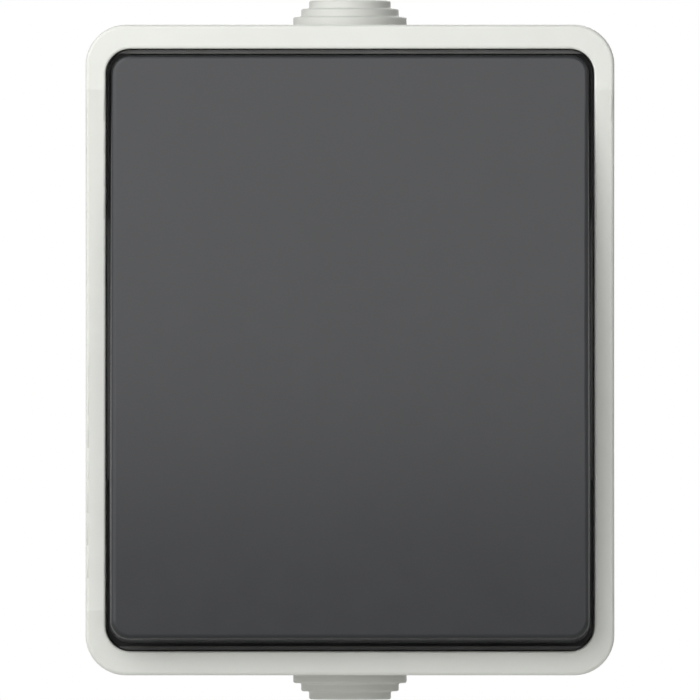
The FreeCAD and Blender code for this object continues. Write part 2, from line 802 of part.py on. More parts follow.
def make_rocker_carrier():
    """Dark frame in the opening's floor: it carries the rocker's two bearings and the four guide lugs."""
    body = new_body("rocker_carrier")
    plate = front_sketch(body, "plate", "carrier_back")
    rounded_rectangle(plate, "carrier_width", "carrier_height", "carrier_radius")
    pad(body, plate, "carrier_plate")
    # A low fence at each end stands in the gap between the rocker and the opening's wall.
    fence = front_sketch(body, "fence", "carrier_front")
    rounded_rectangle(fence, "carrier_width", "carrier_height", "carrier_radius")
    pad(body, fence, "fence_top - carrier_front")
    inside = front_sketch(body, "fence_inside", "fence_top")
    rectangle(inside, "carrier_width + 2 * carrier_clearance", "2 * fence_inside")
    pocket(body, inside, "fence_top - carrier_front")
    window = front_sketch(body, "window", "carrier_front")
    rounded_rectangle(window, "window_width", "window_height", "window_radius")
    pocket(body, window, "2 * carrier_plate")

    lug = front_sketch(body, "lug", "carrier_front")
    rectangle(lug, "lug_width", "lug_length", "(carrier_width - lug_width) / 2")
    lug_pad = pad(body, lug, "lug_top - carrier_front")
    mirror(body, [lug_pad], "YZ_Plane")

    middle = "upright_inside + upright_thickness / 2"
    upright = front_sketch(body, "upright", "carrier_front")
    rectangle(upright, "upright_thickness", "upright_length", middle)
    upright_pad = pad(body, upright, "upright_top - carrier_front")
    bearing = side_sketch(body, "bearing", middle)
    circle(bearing, "pin_diameter + 2 * pin_clearance", "-pivot")
    bearing_cut = pocket(body, bearing, "2 * upright_thickness", both=True)
    mouth = side_sketch(body, "mouth", middle)
    outline(
        mouth,
        [
            ("-pivot", "-snap_mouth / 2"),
            ("-pivot", "snap_mouth / 2"),
            ("-upright_top + upright_lip / 2", "snap_mouth / 2"),
            ("-upright_top - upright_lip / 2", "snap_mouth / 2 + upright_lip"),
            ("-upright_top - upright_lip / 2", "-snap_mouth / 2 - upright_lip"),
            ("-upright_top + upright_lip / 2", "-snap_mouth / 2"),
        ],
    )
    mouth_cut = pocket(body, mouth, "2 * upright_thickness", both=True)
    mirror(body, [upright_pad, bearing_cut, mouth_cut], "YZ_Plane")

    for side, name in ((-1, "upper"), (1, "lower")):
        x = f"{side} * cover_screw_x"
        z = f"{-side} * cover_screw_z"
        recess = front_sketch(body, f"{name}_recess", "carrier_front")
        circle(recess, "screw_head_diameter + 2 * recess_room", x, z)
        pocket(body, recess, "screw_recess")
        hole = front_sketch(body, f"{name}_hole", "carrier_front")
        circle(hole, "cover_screw_diameter + 4 * screw_clearance", x, z)
        pocket(body, hole, "2 * carrier_plate")
    return node(body)


def make_sealing_membrane():
    """Rubber sheet under the carrier, with a raised hat over the toggle's head, shown at rest."""
    body = new_body("sealing_membrane")
    sheet_outline = front_sketch(body, "sheet", "ledge")
    rounded_rectangle(sheet_outline, "carrier_width", "carrier_height", "carrier_radius")
    pad(body, sheet_outline, "membrane_thickness")

    # The hat narrows towards its top, which leans with the toggle at rest.
    for kind, width, height, base, top in (
        ("Additive", "hat_width", "hat_height", "ledge", "hat_inside + hat_skin"),
        ("Subtractive", "hat_width - 2 * hat_skin", "hat_height - 2 * hat_skin", "ledge", "hat_inside"),
    ):
        foot = front_sketch(body, f"{kind.lower()}_foot", base)
        rounded_rectangle(foot, width, height, "hat_radius")
        lid = front_sketch(body, f"{kind.lower()}_lid", top)
        lid.setExpression("AttachmentOffset.Rotation", "rotation(vector(1; 0; 0); -Sizes.rocker_tilt)")
        rounded_rectangle(lid, f"{width} - 2 * hat_slope", f"{height} - 2 * hat_slope", "hat_radius")
        loft = body.newObject(f"PartDesign::{kind}Loft", f"hat_{kind.lower()}")
        loft.Profile = foot
        loft.Sections = [lid]
        settle(body, loft, grows=kind == "Additive")
    for side in (-1, 1):
        hole = front_sketch(body, f"screw_hole_{side + 1}", "carrier_back")
        circle(
            hole,
            "cover_screw_diameter + 2 * screw_clearance",
            f"{side} * cover_screw_x",
            f"{-side} * cover_screw_z",
        )
        pocket(body, hole, "membrane_thickness + 1")
    return node(body)


# Rocker


def make_rocker():
    """Rocker: a crowned shell with drafted sides, hung on two webs with pins, with two pushers below."""
    body = new_body("rocker")
    skirt = front_sketch(body, "shell", "skirt_edge")
    rounded_rectangle(skirt, "skirt_width", "skirt_height", "rocker_radius + skirt_spread")
    pad(body, skirt, "rocker_skirt + rocker_crown + 1", taper="-rocker_draft")
    crown = side_sketch(body, "crown")
    outline(
        crown,
        [
            ("-rocker_edge", "-rocker_height / 2"),
            ("-rocker_edge", "-rocker_height / 2 - 5"),
            ("-rocker_edge - 10", "-rocker_height / 2 - 5"),
            ("-rocker_edge - 10", "rocker_height / 2 + 5"),
            ("-rocker_edge", "rocker_height / 2 + 5"),
            ("-rocker_edge", "rocker_height / 2"),
        ],
        {5: ("x", "-rocker_edge - rocker_crown + crown_radius", 1)},
    )
    pocket(body, crown, "rocker_width + 20", both=True)
    low = number("rocker_edge - 0.05")
    high = number("rocker_edge + rocker_crown")
    slack = number("rocker_crown * tan(rocker_draft)") + 0.02

    def is_front_edge(edge):
        spread = [
            off_rectangle(p, number("rocker_width"), number("rocker_height"), number("rocker_radius"))
            for p in samples(edge)
        ]
        return all(abs(s) < slack for s in spread) and all(low < -p.y < high + 0.05 for p in samples(edge))

    dress("Fillet", body, "rocker_edge_radius", is_front_edge)
    hollow = front_sketch(body, "hollow", "skirt_edge")
    rounded_rectangle(
        hollow,
        "skirt_width - 2 * rocker_wall",
        "skirt_height - 2 * rocker_wall",
        "rocker_radius + skirt_spread - rocker_wall + 0.3",
    )
    pocket(body, hollow, "rocker_inside - skirt_edge", forward=True, taper="-rocker_draft")

    # Ribs on the underside: two across and two along, between the webs.
    across = front_sketch(body, "rib_across", "rocker_inside")
    rectangle(across, "rocker_width - 2 * rocker_wall", "rib_thickness", y="rib_offset")
    across_pad = pad(body, across, "rib_height", forward=False)
    mirror(body, [across_pad], "XY_Plane")
    along = front_sketch(body, "rib_along", "rocker_inside")
    rectangle(along, "rib_thickness", "2 * rib_offset", "pusher_width / 2 + rib_room")
    along_pad = pad(body, along, "rib_height", forward=False)
    mirror(body, [along_pad], "YZ_Plane")

    # Webs with a round end at the pivot, and a pin on each.
    web = side_sketch(body, "web", "web_face - web_thickness / 2")
    outline(
        web,
        [
            ("-rocker_inside - rocker_wall / 2", "-web_length / 2"),
            ("-rocker_inside - rocker_wall / 2", "web_length / 2"),
            ("-pivot", "web_radius"),
            ("-pivot", "-web_radius"),
        ],
        {2: ("x", "-pivot", -1)},
    )
    web_pad = pad(body, web, "web_thickness", both=True)
    pin = side_sketch(body, "pin", "web_face - web_thickness / 2")
    circle(pin, "pin_diameter", "-pivot")
    pin_pad = pad(body, pin, "web_thickness / 2 + web_gap + upright_thickness - button_clearance")
    mirror(body, [web_pad, pin_pad], "YZ_Plane")

    pusher = front_sketch(body, "pusher", "pusher_end")
    rectangle(pusher, "pusher_width", "pusher_thickness", y="pusher_offset")
    pusher_pad = pad(body, pusher, "rocker_inside - pusher_end + rocker_wall / 2")
    mirror(body, [pusher_pad], "XY_Plane")
    place(body, tilted("pivot", "-rocker_tilt"))
    return node(body)


# Screws


def make_screw(label, x, z, head_depth, diameter, length):
    """Pan head screw with a cross recess, pointing to the wall."""
    body = new_body(label)
    profile = top_sketch(body, "profile")
    outline(
        profile,
        [
            ("0", f"{length}"),
            ("0", "-screw_head_height"),
            ("screw_head_diameter / 2 - screw_head_edge", "-screw_head_height"),
            ("screw_head_diameter / 2", "-screw_head_height + screw_head_edge"),
            ("screw_head_diameter / 2", "0"),
            (f"{diameter} / 2", "0"),
            (f"{diameter} / 2", f"{length} - screw_point"),
            (f"{diameter} / 2 - screw_point", f"{length}"),
        ],
    )
    turn(body, profile)
    for n, (wide, high) in enumerate((("cross_length", "cross_width"), ("cross_width", "cross_length"))):
        cross = front_sketch(body, f"cross_{n}", "screw_head_height")
        rectangle(cross, wide, high)
        pocket(body, cross, "cross_depth")
    place(body, f"placement(vector({formula(x)}; -({formula(head_depth)}); {formula(z)}); rotation(0; 0; 0))")
    return body


def make_screws():
    seat = "carrier_front - screw_recess"
    group(
        "cover_screws",
        [
            make_screw(
                f"cover_screw_{name}",
                f"{side} * cover_screw_x",
                f"{-side} * cover_screw_z",
                seat,
                "cover_screw_diameter",
                "cover_screw_length",
            )
            for side, name in ((-1, "upper"), (1, "lower"))
        ],
    )
    group(
        "insert_screws",
        [
            make_screw(
                f"insert_screw_{name}",
                f"{side} * ear_screw_x",
                "0",
                "ear_front",
                "insert_screw_diameter",
                "insert_screw_length",
            )
            for side, name in ((-1, "left"), (1, "right"))
        ],
    )


# Switch insert


def make_insert_socket():
    """Moulded block: a trough for the contact lever between four terminal chambers, with two ears."""
    body = new_body("insert_socket")
    block = front_sketch(body, "block", "socket_back")
    rounded_rectangle(block, "insert_width", "insert_height", "insert_radius")
    pad(body, block, "socket_depth")
    trough = front_sketch(body, "trough", "socket_front")
    rectangle(trough, "trough_width", "trough_height")
    pocket(body, trough, "socket_front - chamber_floor")
    chamber = front_sketch(body, "chamber", "socket_front")
    rectangle(chamber, "chamber_width", "chamber_height", "chamber_x", "chamber_z")
    chamber_cut = pocket(body, chamber, "socket_front - chamber_floor")
    entries = top_sketch(body, "entries", "insert_height / 2")
    for sign in (-1, 1):
        circle(entries, "entry_diameter", f"chamber_x + {sign} * chamber_width / 4", "-entry_depth")
    entry_cut = pocket(body, entries, "1.5 * insert_wall")
    mirror_both_ways(body, [chamber_cut, entry_cut])

    # Recesses in the side walls take the barbs of the lid's four hooks.
    recess = side_sketch(body, "hook_recess", "insert_width / 2")
    high, wide = "2 * (hook_barb + hook_clearance)", "hook_width + 2 * hook_clearance"
    rectangle(recess, high, wide, "-hook_end - hook_barb", "hook_z")
    mirror_both_ways(body, [pocket(body, recess, "hook_barb")])

    # Gaps in the trough's walls let the contact strips through.
    gap = front_sketch(body, "strip_gap", "arm_top + strip_clearance")
    across, high = "2 * chamber_divider", "arm_width + 2 * strip_clearance"
    rectangle(gap, across, high, "divider_x", "contact_offset")
    gap_cut = pocket(body, gap, "arm_top + strip_clearance - chamber_floor")
    mirror(body, [gap_cut], "XY_Plane")
    bridge = front_sketch(body, "bridge_gap", "strip_top + strip_clearance")
    rectangle(bridge, across, high, "-divider_x", "bridge_z")
    pocket(body, bridge, "strip_top + strip_clearance - chamber_floor")

    ear = front_sketch(body, "ear", "ear_back")
    start = "(insert_width / 2 - insert_wall / 2)"
    end = "(cavity_width / 2 - ear_clearance)"
    rectangle(ear, f"{end} - {start}", "ear_height", f"({end} + {start}) / 2")
    ear_pad = pad(body, ear, "ear_thickness")
    screw = front_sketch(body, "ear_hole", "ear_front")
    circle(screw, "insert_screw_diameter + 4 * screw_clearance", "ear_screw_x")
    screw_cut = pocket(body, screw, "2 * ear_thickness")
    mirror(body, [ear_pad, screw_cut], "YZ_Plane")
    return node(body)


def mirror_both_ways(body, features):
    """Repeats features to the left, and then both sides downwards."""
    left = body.newObject("PartDesign::MultiTransform", f"{features[-1].Label}_four")
    left.Originals = features
    steps = []
    for role in ("YZ_Plane", "XY_Plane"):
        step = body.newObject("PartDesign::Mirrored", f"{features[-1].Label}_{role[:2].lower()}")
        plane = next(o for o in body.Origin.OriginFeatures if o.Role == role)
        step.MirrorPlane = (plane, [""])
        steps.append(step)
    left.Transformations = steps
    body.Tip = left
    return settle(body, left)


def make_insert_cover():
    """Lid of the insert: two cheeks for the toggle, four slots for the release levers and four snap hooks."""
    body = new_body("insert_cover")
    plate = front_sketch(body, "plate", "socket_front")
    rounded_rectangle(plate, "insert_width", "insert_height", "insert_radius")
    pad(body, plate, "insert_cover_thickness")
    window = front_sketch(body, "window", "insert_front")
    rectangle(window, "tube_diameter + 2 * tube_room", "tube_diameter + 2 * tube_room")
    pocket(body, window, "2 * insert_cover_thickness")
    middle = "cheek_inside + cheek_thickness / 2"
    cheek = side_sketch(body, "cheek", middle)
    outline(
        cheek,
        [
            ("-insert_front + insert_cover_thickness / 2", "-cheek_length / 2"),
            ("-toggle_axis", "-cheek_length / 2"),
            ("-toggle_axis", "cheek_length / 2"),
            ("-insert_front + insert_cover_thickness / 2", "cheek_length / 2"),
        ],
        {1: ("x", "-toggle_axis", -1)},
    )
    cheek_pad = pad(body, cheek, "cheek_thickness", both=True)
    bearing = side_sketch(body, "bearing", middle)
    circle(bearing, "pin_diameter + 2 * pin_clearance", "-toggle_axis")
    bearing_cut = pocket(body, bearing, "2 * cheek_thickness", both=True)
    mirror(body, [cheek_pad, bearing_cut], "YZ_Plane")
    slot = front_sketch(body, "slot", "insert_front")
    width, height = "button_width + 2 * button_clearance", "button_height + 2 * button_clearance"
    rectangle(slot, width, height, "chamber_x", "button_z")
    slot_cut = pocket(body, slot, "2 * insert_cover_thickness")
    mirror_both_ways(body, [slot_cut])
    hook = top_sketch(body, "hook", "hook_z")
    barb = "hook_inside - hook_barb"
    outline(
        hook,
        [
            ("insert_width / 2 - hook_thickness", "-insert_front"),
            ("hook_inside + hook_thickness", "-insert_front"),
            ("hook_inside + hook_thickness", "-hook_end"),
            ("hook_inside", "-hook_end"),
            (barb, "-hook_end - hook_barb"),
            (barb, "-hook_end - 2 * hook_barb"),
            ("hook_inside", "-hook_end - 2 * hook_barb"),
            ("hook_inside", "-socket_front"),
            ("insert_width / 2 - hook_thickness", "-socket_front"),
        ],
    )
    mirror_both_ways(body, [pad(body, hook, "hook_width", both=True)])
    return node(body)


def make_toggle():
    """Toggle: a flat head with two pads, pins on a hub, and a tube for the plunger and its spring."""
    body = new_body("toggle")
    side = side_sketch(body, "side")
    outline(
        side,
        [
            ("-toggle_top", "-toggle_height / 2"),
            ("-toggle_top", "toggle_height / 2"),
            ("-toggle_top + toggle_head", "toggle_height / 2"),
            ("-toggle_axis - hub_rim", "hub_radius + hub_rim"),
            ("-toggle_axis", "hub_radius"),
            ("-toggle_axis", "-hub_radius"),
            ("-toggle_axis - hub_rim", "-hub_radius - hub_rim"),
            ("-toggle_top + toggle_head", "-toggle_height / 2"),
        ],
        {4: ("x", "-toggle_axis", -1)},
    )
    pad(body, side, "toggle_width", both=True)
    pin = side_sketch(body, "pin")
    circle(pin, "pin_diameter", "-toggle_axis")
    pad(body, pin, "2 * (cheek_inside + cheek_thickness - button_clearance)", both=True)
    tube = front_sketch(body, "tube", "toggle_axis - tube_reach")
    circle(tube, "tube_diameter")
    pad(body, tube, "tube_reach + hub_rim")
    bore = front_sketch(body, "bore", "toggle_axis - tube_reach")
    circle(bore, "tube_bore")
    pocket(body, bore, "tube_reach + bore_top", forward=True)
    place(body, tilted("toggle_axis", "-rocker_tilt"))
    return node(body)


def make_plunger():
    """Plunger: a cup that slides in the toggle's tube, with a ball nose that runs on the contact lever."""
    body = new_body("plunger")
    profile = top_sketch(body, "profile")
    cup = "plunger_diameter / 2 - plunger_wall"
    outline(
        profile,
        [
            ("0", "-tip_depth"),
            ("plunger_tip", "-tip_depth - plunger_tip"),
            ("plunger_diameter / 2", "-tip_depth - plunger_tip - plunger_shoulder"),
            ("plunger_diameter / 2", "-tip_depth - plunger_tip - plunger_shoulder - plunger_length"),
            (cup, "-tip_depth - plunger_tip - plunger_shoulder - plunger_length"),
            (cup, "-cup_floor"),
            ("0", "-cup_floor"),
        ],
        {0: ("x", "0", -1)},
    )
    turn(body, profile)
    place(body, tilted("toggle_axis", "-rocker_tilt"))
    return node(body)


def make_toggle_spring():
    """Compression spring between the plunger's cup and the top of the tube's bore, of six-sided wire."""
    body = new_body("toggle_spring")
    section = top_sketch(body, "wire")
    radius = "(plunger_diameter / 2 - plunger_wall - spring_wire / 2 - spring_clearance)"
    outline(
        section,
        [
            (f"{radius} + spring_wire / 2 * cos({angle})", f"spring_wire / 2 * sin({angle})")
            for angle in range(0, 360, 60)
        ],
    )
    coil = body.newObject("PartDesign::AdditiveHelix", "toggle_spring_coil")
    coil.Profile = section
    coil.ReferenceAxis = (section, ["V_Axis"])
    coil.Mode = "height-turns-angle"
    coil.setExpression(
        "Height", formula("toggle_axis + bore_top - cup_floor - spring_wire - 2 * spring_clearance")
    )
    coil.Turns = SPRING_TURNS
    coil.Reversed = True
    settle(body, coil)
    lift = formula("cup_floor + spring_wire / 2 + spring_clearance")
    lean = tilted("toggle_axis", "-rocker_tilt")
    place(body, f"{lean} * placement(vector(0; -({lift}); 0); rotation(0; 0; 0))")
    return node(body)


def make_contact_lever():
    """Contact lever: a strip that rocks on the common terminal's edge, with a shallow saddle above it."""
    body = new_body("contact_lever")
    side = side_sketch(body, "strip")
    outline(
        side,
        [
            ("-lever_axis", "-lever_length / 2"),
            ("-lever_axis - lever_thickness", "-lever_length / 2"),
            ("-lever_axis - lever_thickness", "lever_length / 2"),
            ("-lever_axis", "lever_length / 2"),
            ("-lever_axis", "notch_half"),
            ("-lever_axis - notch_depth", "0"),
            ("-lever_axis", "-notch_half"),
        ],
    )
    pad(body, side, "lever_width", both=True)
    place(body, tilted("lever_axis", "lever_tilt"))
    return node(body)


def make_contact_tip(label):
    """Domed contact rivet, on the side of the lever that faces the wall."""
    body = new_body(label)
    profile = top_sketch(body, "profile")
    edge = "contact_diameter / 2"
    rim = "contact_height - contact_dome + sqrt(contact_dome ^ 2 - contact_diameter ^ 2 / 4)"
    outline(
        profile,
        [
            ("0", "-lever_axis"),
            (edge, "-lever_axis"),
            (edge, f"-lever_axis + {rim}"),
            ("0", "-lever_axis + contact_height"),
        ],
        {2: ("x", "0", 1)},
    )
    turn(body, profile)
    return body


def make_fixed_contact(label, z):
    """Flat contact rivet on a traveller's arm, a little wider than the tip that meets it."""
    body = new_body(label)
    face = front_sketch(body, "face", "arm_top")
    circle(face, "contact_diameter + 2 * contact_margin", "0", z)
    pad(body, face, "contact_height")
    return body


def make_contacts():
    tips = []
    for sign, name in ((1, "upper"), (-1, "lower")):
        tip = make_contact_tip(f"contact_tip_{name}")
        lean = tilted("lever_axis", "lever_tilt")
        z = formula(f"{sign} * contact_offset")
        place(tip, f"{lean} * placement(vector(0; 0; {z}); rotation(0; 0; 0))")
        tips.append(tip)
    group("contact_tips", tips)
    group(
        "fixed_contacts",
        [
            make_fixed_contact(f"fixed_contact_{name}", f"{sign} * contact_offset")
            for sign, name in ((1, "upper"), (-1, "lower"))
        ],
    )


# Terminals


def terminal_plate(body, side_x, side_z):
    plate = front_sketch(body, "plate", "chamber_floor")
    rectangle(
        plate,
        "chamber_width - 2 * strip_clearance",
        "chamber_height - 2 * strip_clearance",
        f"{side_x} * chamber_x",
        f"{side_z} * chamber_z",
    )
    pad(body, plate, "strip_thickness")


def make_terminal_common():
    """Common terminal: its strip crosses the trough and ends in the edge that the contact lever rocks on."""
    body = new_body("terminal_common")
    terminal_plate(body, -1, 1)
    bridge = front_sketch(body, "bridge", "chamber_floor")
    left = "-chamber_left - chamber_divider"
    outline(
        bridge,
        [
            (left, "bridge_z - arm_width / 2"),
            ("-lever_width / 2", "bridge_z - arm_width / 2"),
            ("-lever_width / 2", "-edge_slope"),
            ("lever_width / 2", "-edge_slope"),
            ("lever_width / 2", "bridge_z + arm_width / 2"),
            (left, "bridge_z + arm_width / 2"),
        ],
    )
    pad(body, bridge, "strip_thickness")
    post = side_sketch(body, "post")
    outline(
        post,
        [
            ("-chamber_floor", "-edge_half"),
            ("-lever_axis + edge_slope", "-edge_half"),
            ("-lever_axis - notch_depth / 3", "0"),
            ("-lever_axis + edge_slope", "edge_half"),
            ("-chamber_floor", "edge_half"),
        ],
    )
    pad(body, post, "lever_width", both=True)
    return node(body)


def make_terminal_traveller(label, side):
    """Traveller terminal: a bent arm carries its fixed contact under the end of the contact lever."""
    body = new_body(label)
    terminal_plate(body, 1, side)
    inner = "chamber_left + strip_clearance"
    arm = top_sketch(body, "arm", f"{side} * contact_offset")
    outline(
        arm,
        [
            (f"{inner} + strip_thickness", "-chamber_floor"),
            (f"{inner} + strip_thickness", "-arm_top"),
            ("-contact_diameter / 2 - contact_margin", "-arm_top"),
            ("-contact_diameter / 2 - contact_margin", "-arm_top + strip_thickness"),
            (inner, "-arm_top + strip_thickness"),
            (inner, "-chamber_floor"),
        ],
    )
    pad(body, arm, "arm_width", both=True)
    return node(body)


def make_terminal_loop():
    """Spare terminal that only passes a wire on."""
    body = new_body("terminal_loop")
    terminal_plate(body, -1, -1)
    return node(body)


def make_clamp_spring(label, side_x, side_z):
    """Clamp spring: one leg stands on the chamber's inner wall, the other presses a wire on the plate."""
    body = new_body(label)
    side = side_sketch(body, "leaf")
    low, top = "-strip_top - strip_clearance", "-clamp_top"
    outline(
        side,
        [
            (low, "clamp_foot"),
            (top, "clamp_foot"),
            (top, "clamp_far"),
            (low, "clamp_end"),
            (low, "clamp_end - clamp_thickness"),
            (top, "clamp_far - clamp_thickness"),
            (top, "clamp_foot + clamp_thickness"),
            (low, "clamp_foot + clamp_thickness"),
        ],
        {1: ("x", top, -1), 5: ("x", top, 1)},
    )
    pad(body, side, "chamber_width - 2 * clamp_side_room", both=True)
    spin = "rotation(vector(0; 1; 0); 0)" if side_z > 0 else "rotation(vector(0; 1; 0); 180)"
    x = formula(f"{side_x} * chamber_x")
    place(body, f"placement(vector({x}; 0; 0); {spin})")
    return node(body)


def make_release_lever(label, side_x, side_z):
    """Release lever: pressed with a screwdriver, it opens the clamp spring behind it."""
    body = new_body(label)
    under = "socket_front - button_clearance"
    shoulder_width = "button_width + 2 * button_shoulder"
    inside = f"{under} - button_collar / 2"
    for name, width, height, start, end in (
        ("button", "button_width", "button_height", inside, "insert_front + button_rise"),
        ("shoulder", shoulder_width, "button_height", f"{under} - button_collar", under),
        ("stem", "stem_width", "stem_height", "stem_end", inside),
    ):
        block = front_sketch(body, name, start)
        rectangle(block, width, height)
        pad(body, block, f"{end} - ({start})")
    x = formula(f"{side_x} * chamber_x")
    z = formula(f"{side_z} * button_z")
    place(body, f"placement(vector({x}; 0; {z}); rotation(0; 0; 0))")
    return node(body)


def make_earth_terminal():
    """Earth terminal: a brass bar in a small holder on the back box's floor, with two clamp leaves."""
    holder = new_body("earth_holder")
    case = front_sketch(holder, "case", "back_wall")
    rectangle(case, "earth_width", "earth_height", "-earth_x", "-earth_z")
    pad(holder, case, "earth_depth")
    room = front_sketch(holder, "room", "back_wall + earth_depth")
    rectangle(room, "earth_width - 2 * earth_wall", "earth_height - 2 * earth_wall", "-earth_x", "-earth_z")
    pocket(holder, room, "earth_depth - earth_wall")
    entries = side_sketch(holder, "entries", "-earth_x + earth_width / 2")
    above = "earth_wall + strip_thickness + entry_rise + entry_diameter / 2"
    circle(entries, "entry_diameter", f"-back_wall - ({above})", "-earth_z")
    pocket(holder, entries, "earth_width + earth_wall")
    node(holder)
    bar = new_body("earth_bar")
    side = top_sketch(bar, "side", "-earth_z")
    half = "(earth_width / 2 - earth_wall - strip_clearance)"
    floor = "back_wall + earth_wall"
    outline(
        side,
        [
            (f"-earth_x - {half}", f"-({floor})"),
            (f"-earth_x - {half}", f"-({floor} + earth_bar_height)"),
            (f"-earth_x - {half} + strip_thickness", f"-({floor} + earth_bar_height)"),
            (f"-earth_x - {half} + strip_thickness", f"-({floor} + strip_thickness)"),
            (f"-earth_x + {half}", f"-({floor} + strip_thickness)"),
            (f"-earth_x + {half}", f"-({floor})"),
        ],
    )
    pad(bar, side, "earth_height - 2 * earth_wall - 2 * strip_clearance", both=True)
    return node(bar)


make_base_box()
make_housing_gasket()
make_cover_frame()
make_grommet("grommet_top", 1)
make_grommet("grommet_bottom", -1)
make_sealing_membrane()
make_rocker_carrier()
make_rocker()
make_insert_socket()
make_insert_cover()
make_screws()
make_toggle()
make_plunger()
make_toggle_spring()
make_contact_lever()
make_contacts()
make_terminal_common()
make_terminal_traveller("terminal_upper", 1)
make_terminal_traveller("terminal_lower", -1)
make_terminal_loop()
for side_x, side_z, corner in ((-1, 1, "common"), (1, 1, "upper"), (1, -1, "lower"), (-1, -1, "loop")):
    make_clamp_spring(f"clamp_spring_{corner}", side_x, side_z)
    make_release_lever(f"release_lever_{corner}", side_x, side_z)
make_earth_terminal()
doc.recompute()

# Everything is checked before anything is written.
broken = [o.Label for o in doc.Objects if any(word in o.State for word in ("Invalid", "Error"))]
if broken:
    raise RuntimeError(f"failed objects: {broken}")
for made in NODES:
    if made.Shape.isNull() or not made.Shape.isValid() or not made.Shape.Solids:
        raise RuntimeError(f"{made.Label} has no valid shape")

os.makedirs("parts", exist_ok=True)
for made in NODES:
    made.Shape.exportStep(f"parts/{made.Label}.step")
    box = made.Shape.BoundBox
    depths = f"depth {-box.YMax:.2f} to {-box.YMin:.2f}"
    print(f"{made.Label}: {len(made.Shape.Solids)} solids, {made.Shape.Volume:.1f} mm3, {depths}")
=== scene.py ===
# %% [markdown]
# A surface mounted light switch for a damp room: a light grey box, a dark rocker and a stepped
# rubber grommet at the top and at the bottom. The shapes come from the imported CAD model, which is
# loaded here as a fixed frame in metres. This script dresses it: it gives each piece the finish
# of its real material, remakes the few pieces that are rounder than their CAD solids, and sets up
# a small photo studio.

# %% Load the frame
import math

import bmesh
import bpy
from mathutils import Matrix, Vector


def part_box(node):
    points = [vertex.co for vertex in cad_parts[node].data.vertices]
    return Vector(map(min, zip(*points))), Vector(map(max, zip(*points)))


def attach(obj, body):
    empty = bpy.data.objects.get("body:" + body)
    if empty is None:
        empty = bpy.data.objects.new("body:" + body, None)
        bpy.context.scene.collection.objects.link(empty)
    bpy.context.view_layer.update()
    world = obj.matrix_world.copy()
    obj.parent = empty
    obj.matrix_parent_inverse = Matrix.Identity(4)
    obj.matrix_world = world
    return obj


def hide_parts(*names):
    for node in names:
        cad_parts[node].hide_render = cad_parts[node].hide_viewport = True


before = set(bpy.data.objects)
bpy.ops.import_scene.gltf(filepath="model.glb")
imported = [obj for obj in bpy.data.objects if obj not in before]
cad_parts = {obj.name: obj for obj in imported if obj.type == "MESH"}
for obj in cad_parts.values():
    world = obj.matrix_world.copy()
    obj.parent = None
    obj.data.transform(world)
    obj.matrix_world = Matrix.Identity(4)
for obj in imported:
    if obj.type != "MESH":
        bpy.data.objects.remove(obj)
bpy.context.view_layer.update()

MM = 0.001

# %% [markdown]
# Colours are written as sRGB hex values, as a paint program shows them. Blender's shaders work in
# linear light, so one function turns a hex value into linear numbers. A second function adds a
# node to a tree with its settings and its links, which keeps the cells that follow short.

# %% Colour and node helpers
def linear(code):
    """An sRGB hex colour as four linear numbers."""
    parts = [int(code[i:i + 2], 16) / 255 for i in (1, 3, 5)]
    return [p / 12.92 if p <= 0.04045 else ((p + 0.055) / 1.055) ** 2.4 for p in parts] + [1]


def add(tree, kind, inputs=None, **settings):
    """Adds a node. An input is a value, or an output socket of another node to link from."""
    node = tree.nodes.new(kind)
    for key, value in settings.items():
        setattr(node, key, value)
    for key, value in (inputs or {}).items():
        if isinstance(value, bpy.types.NodeSocket):
            tree.links.new(value, node.inputs[key])
        else:
            node.inputs[key].default_value = value
    return node


def per_metre(size_mm):
    """The scale of a noise pattern whose grains are this many millimetres apart."""
    return 1 / (size_mm * MM)


print("#808080 in linear light:", round(linear("#808080")[0], 3))

# %% [markdown]
# Moulded plastic takes its look from the steel mould, which is spark eroded or polished. The fine
# even grain that this leaves makes the gloss soft. An image texture would tile and blur, so noise
# on Object coordinates is used: it has a real size in millimetres and stays put when the part
# moves. Three scales work together: the grain gives the bump, a slower noise varies the gloss,
# and a very slow one varies the colour by a hair, as pigment does.

# %% A moulded material
CLOUD_MM, PATCH_MM = 9.0, 2.5
NOISE_LOW, NOISE_HIGH = 0.3, 0.7
DARK_UP_TO, LIGHT_FROM = 0.35, 0.65


